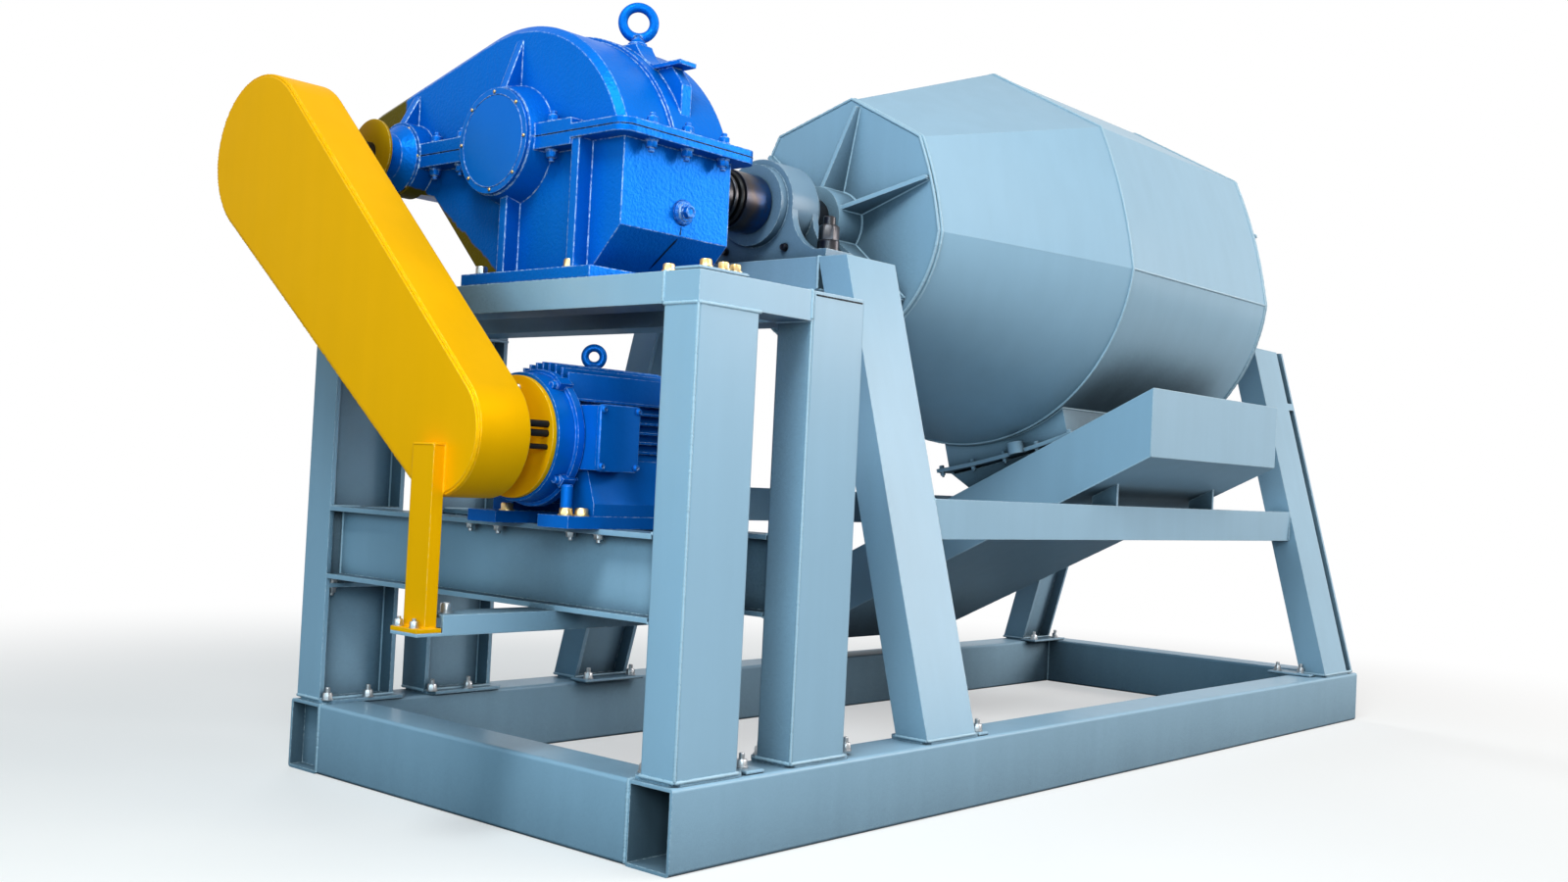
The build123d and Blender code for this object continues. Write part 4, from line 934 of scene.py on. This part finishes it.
# A darker copy of the guard yellow, as painted shade for the gearbox's disc behind the guard.
shaded_yellow = painted("guard yellow with painted shade", (0.42, 0.22, 0.002, 1), 0.40, pale=(1.0, 0.85, 0.4, 1), tone=0.3,
                      edge_light=0.8, edge_radius=0.003, sheen=0.04, shelter=0.5, varnish=0.05)
finish_nodes(yellow, "guard_shell", "guard_leg", "motor_disc")
(guard_x0, _, guard_z0), (guard_x1, guard_y1, guard_z1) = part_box("guard_shell")
guard_small = 0.152
guard_big = 0.218
guard_edge = 0.0045
big_y, big_z = guard_y1 - guard_big, guard_z1 - guard_big
on_guard = {"material": yellow, "slot": "guard_paint"}


def guard_outline(x, inset, steps=60):
    """A path round the guard: an arc about each pulley's centre, and the lines that touch both circles."""
    small, big = guard_small - inset, guard_big - inset
    span = np.hypot(big_y - motor_y, big_z - motor_z)
    lean = np.arctan2(big_z - motor_z, big_y - motor_y)
    touch = np.arccos((small - big) / span)
    low = np.linspace(lean + touch, lean + 2 * pi - touch, steps)
    high = np.linspace(lean - touch, lean + touch, steps)
    y = np.concatenate([motor_y + small * np.cos(low), big_y + big * np.cos(high)])
    z = np.concatenate([motor_z + small * np.sin(low), big_z + big * np.sin(high)])
    return np.stack([np.full(len(y), x), y, z], axis=-1)


edge_path = guard_outline(guard_x0 + guard_edge + 0.001, guard_edge)
beads("guard_edge_weld", [edge_path], radius=0.0034, ripple=0.010, closed=True, **on_guard)
(leg_x0, leg_y0, leg_z0), (_, leg_y1, leg_z1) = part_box("guard_leg")
leg_rim = 0.009
tube_depth = 0.032
tube_y0, tube_y1 = leg_y0 + leg_rim, leg_y1 - leg_rim
tube = ((guard_x0 - tube_depth, tube_y0, 0), (guard_x0, tube_y1, 0))
leg_foot_z = leg_z0 + foot_plate
lap_z = guard_z0 + 0.006
leg_sides = ((tube_y0, lap_z), (tube_y0, leg_z1), (tube_y1, leg_z1), (tube_y1, lap_z))
leg_paths = [[(guard_x0, y, z) for y, z in leg_sides],
             whole_loop(tube, 2, leg_z1, inset=0.002), whole_loop(tube, 2, leg_foot_z)]
beads("guard_leg_welds", leg_paths, radius=0.0036, **on_guard)
leg_bolts = [(leg_x0 + 0.013, y, leg_foot_z) for y in (leg_y1 - 0.013, leg_y0 + 0.028)]
fasten("guard_foot_bolts", hex_bolt(0.018, 0.013, tip=0.006), leg_bolts, zinc)
disc_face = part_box("motor_disc")[0][0]
disc_screws = circle_across((disc_face, motor_y, motor_z), 0.119, 2, radians(96))
fasten("motor_disc_screws", button_screw(0.009, 0.007), disc_screws, zinc, to_left)
spacer_y = -0.424
spacer_rounds = ((0.0085, 1.012), (0.0085, 0.990), (0.0065, 0.958))
reach = disc_face - guard_x1
spacers = [stamp(circles((0, 0), (0, radius), (reach, radius), (reach, 0)), [(guard_x1, spacer_y, z)],
                 (1, 0, 0), steps=72) for radius, z in spacer_rounds]
make_piece("disc_spacers", together(spacers), rubber, "guard_paint")

input_bore = 0.0305
disc_reach = 0.0930
disc_x = input_face - disc_reach
disc_profile = [(0, input_bore), (0, 0.090), (0.003, 0.0955), (0.010, 0.0955), (0.012, 0.090),
                (0.012, input_bore)]
hub_profile = [(0, input_bore), (0, 0.060), (0.048, 0.066), (0.0775, 0.0965), (0.0795, 0.0965),
               (0.0795, input_bore)]
input_disc = bored(disc_profile, (disc_x, input_y, axis_z))
input_hub = bored(hub_profile, (disc_x + 0.013, input_y, axis_z))
make_piece("input_disc", input_disc, shaded_yellow, "guard_paint", "input_drive")
make_piece("input_hub", input_hub, body="input_drive", **on_gearbox)

# Chute: a trough of folded plate under the hatch, open at the far side. It stands on gussets over
# the near rail and the far beam, is welded along its corners and enamelled like the frame.
finish_nodes(enamel, "chute")
(chute_x0, chute_y0, _), (chute_x1, chute_y1, chute_z1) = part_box("chute")
chute_fall = tan(radians(26.7))
chute_side = 0.232
skin = 0.002
near_y = chute_y0 + skin
near_z = chute_z1 - chute_side
far_z = near_z - chute_fall * (chute_y1 - chute_y0)
chute_paths = []
for x in (chute_x0 + skin, chute_x1 - skin):
    chute_paths += [[(x, near_y, near_z + skin), (x, chute_y1, far_z + skin)],
                    [(x, near_y, near_z), (x, near_y, chute_z1 - skin)]]
chute_paths.append([(chute_x0, near_y, near_z + skin), (chute_x1, near_y, near_z + skin)])
beads("chute_welds", chute_paths, radius=0.0030, ripple=0.014)

# Studio: a pale floor that runs out to white, soft lamps on the near side and at the gearbox end,
# one behind for the far side, and the camera where the photograph was taken.
floor_half = 30.0
shadow_reach = (2.6, 5.5)
ambient = 0.04


def pale_floor():
    """The floor: lit near the machine, and fading to plain white away from it where the camera sees it."""
    material, tree, _ = new_material("studio floor")
    tree.nodes.clear()
    sight = add(tree, "LightPath")
    matt_seen = add(tree, "BsdfDiffuse", {"Color": (0.90, 0.90, 0.90, 1)}).outputs[0]
    matt_dim = add(tree, "BsdfDiffuse", {"Color": (0.26, 0.27, 0.28, 1)}).outputs[0]
    white = add(tree, "Emission", {"Color": (1, 1, 1, 1), "Strength": 1.0}).outputs[0]
    away = add(tree, "VectorMath", {0: object_place(tree)}, operation="LENGTH").outputs["Value"]
    fade = ranged(tree, away, *shadow_reach, 0.45, 1.0, interpolation_type="SMOOTHSTEP")
    seen = add(tree, "MixShader", {0: fade, 1: matt_seen, 2: white}).outputs[0]
    whole = add(tree, "MixShader", {0: sight.outputs["Is Camera Ray"], 1: matt_dim, 2: seen}).outputs[0]
    add(tree, "OutputMaterial", {"Surface": whole})
    return material


floor_mesh = bpy.data.meshes.new("studio_floor")
floor_corners = [(x * floor_half, y * floor_half, 0) for x, y in ((-1, -1), (1, -1), (1, 1), (-1, 1))]
floor_mesh.from_pydata(floor_corners, [], [(0, 1, 2, 3)])
floor_mesh.materials.append(pale_floor())
floor = bpy.data.objects.new("studio_floor", floor_mesh)
bpy.context.scene.collection.objects.link(floor)

world = bpy.data.worlds.new("studio")
bpy.context.scene.world = world
world.use_nodes = True
sky = world.node_tree
sky.nodes.clear()
sight = add(sky, "LightPath").outputs
direct = calc(sky, "ADD", sight["Is Camera Ray"], sight["Is Transmission Ray"])
shown = add(sky, "Math", {0: direct, 1: sight["Is Glossy Ray"]}, operation="ADD", use_clamp=True).outputs[0]
dim = add(sky, "Background", {"Color": (0.70, 0.87, 1.0, 1), "Strength": ambient}).outputs[0]
bright = add(sky, "Background", {"Color": (1, 1, 1, 1), "Strength": 1.0}).outputs[0]
add(sky, "OutputWorld", {"Surface": add(sky, "MixShader", {0: shown, 1: dim, 2: bright}).outputs[0]})


def studio_lamp(name, place, aim_z, size, power, colour, glare=True):
    """A soft rectangular lamp that looks from its place to a height over the middle. One without glare
    lights matt surfaces only."""
    light = bpy.data.lights.new(name, "AREA")
    light.shape = "RECTANGLE"
    light.size, light.size_y = size
    light.energy = power
    light.color = colour
    lamp = bpy.data.objects.new(name, light)
    lamp.visible_glossy = glare
    way = (Vector((0, 0, aim_z)) - Vector(place)).to_track_quat("-Z", "Y")
    lamp.matrix_world = Matrix.Translation(place) @ way.to_matrix().to_4x4()
    bpy.context.scene.collection.objects.link(lamp)


studio_lamp("key", (7.0, -7.0, 4.0), 1.0, (4.0, 4.0), 630, (1.0, 0.93, 0.87))
studio_lamp("high front", (1.0, -7.0, 7.0), 1.0, (5.0, 4.0), 300, (1.0, 0.95, 0.89))
studio_lamp("high left", (-5.0, -2.0, 6.0), 1.0, (2.0, 2.0), 270, (0.86, 0.97, 1.0))
studio_lamp("near", (-4.3, -3.2, 1.7), 0.8, (1.2, 1.2), 66, (0.74, 0.93, 1.0))
studio_lamp("behind", (4.0, 8.0, 3.5), 1.0, (4.0, 3.0), 330, (0.92, 0.97, 1.0), glare=False)
studio_lamp("low left", (-9.0, -2.0, 2.5), 0.4, (4.0, 3.0), 140, (0.50, 0.84, 1.0))

focal_pixels = 1557.885
photo_width = 1600
yaw, pitch, roll = 0.717, 0.025, 0.049
stand_at = (-4.3323, -3.2179, 0.9092)
ahead = np.array([cos(yaw) * cos(pitch), sin(yaw) * cos(pitch), sin(pitch)])
level = np.array([sin(yaw), -cos(yaw), 0])
above = np.cross(level, ahead)
right = cos(roll) * level + sin(roll) * above
up = -sin(roll) * level + cos(roll) * above
camera_data = bpy.data.cameras.new("photo_camera")
camera_data.sensor_fit = "HORIZONTAL"
camera_data.sensor_width = 36.0
camera_data.lens = focal_pixels / photo_width * camera_data.sensor_width
camera = bpy.data.objects.new("photo_camera", camera_data)
turned_to = Matrix([right.tolist(), up.tolist(), (-ahead).tolist()]).transposed()
camera.matrix_world = Matrix.Translation(stand_at) @ turned_to.to_4x4()
bpy.context.scene.collection.objects.link(camera)
bpy.context.scene.camera = camera
bpy.context.scene.view_settings.view_transform = "Standard"
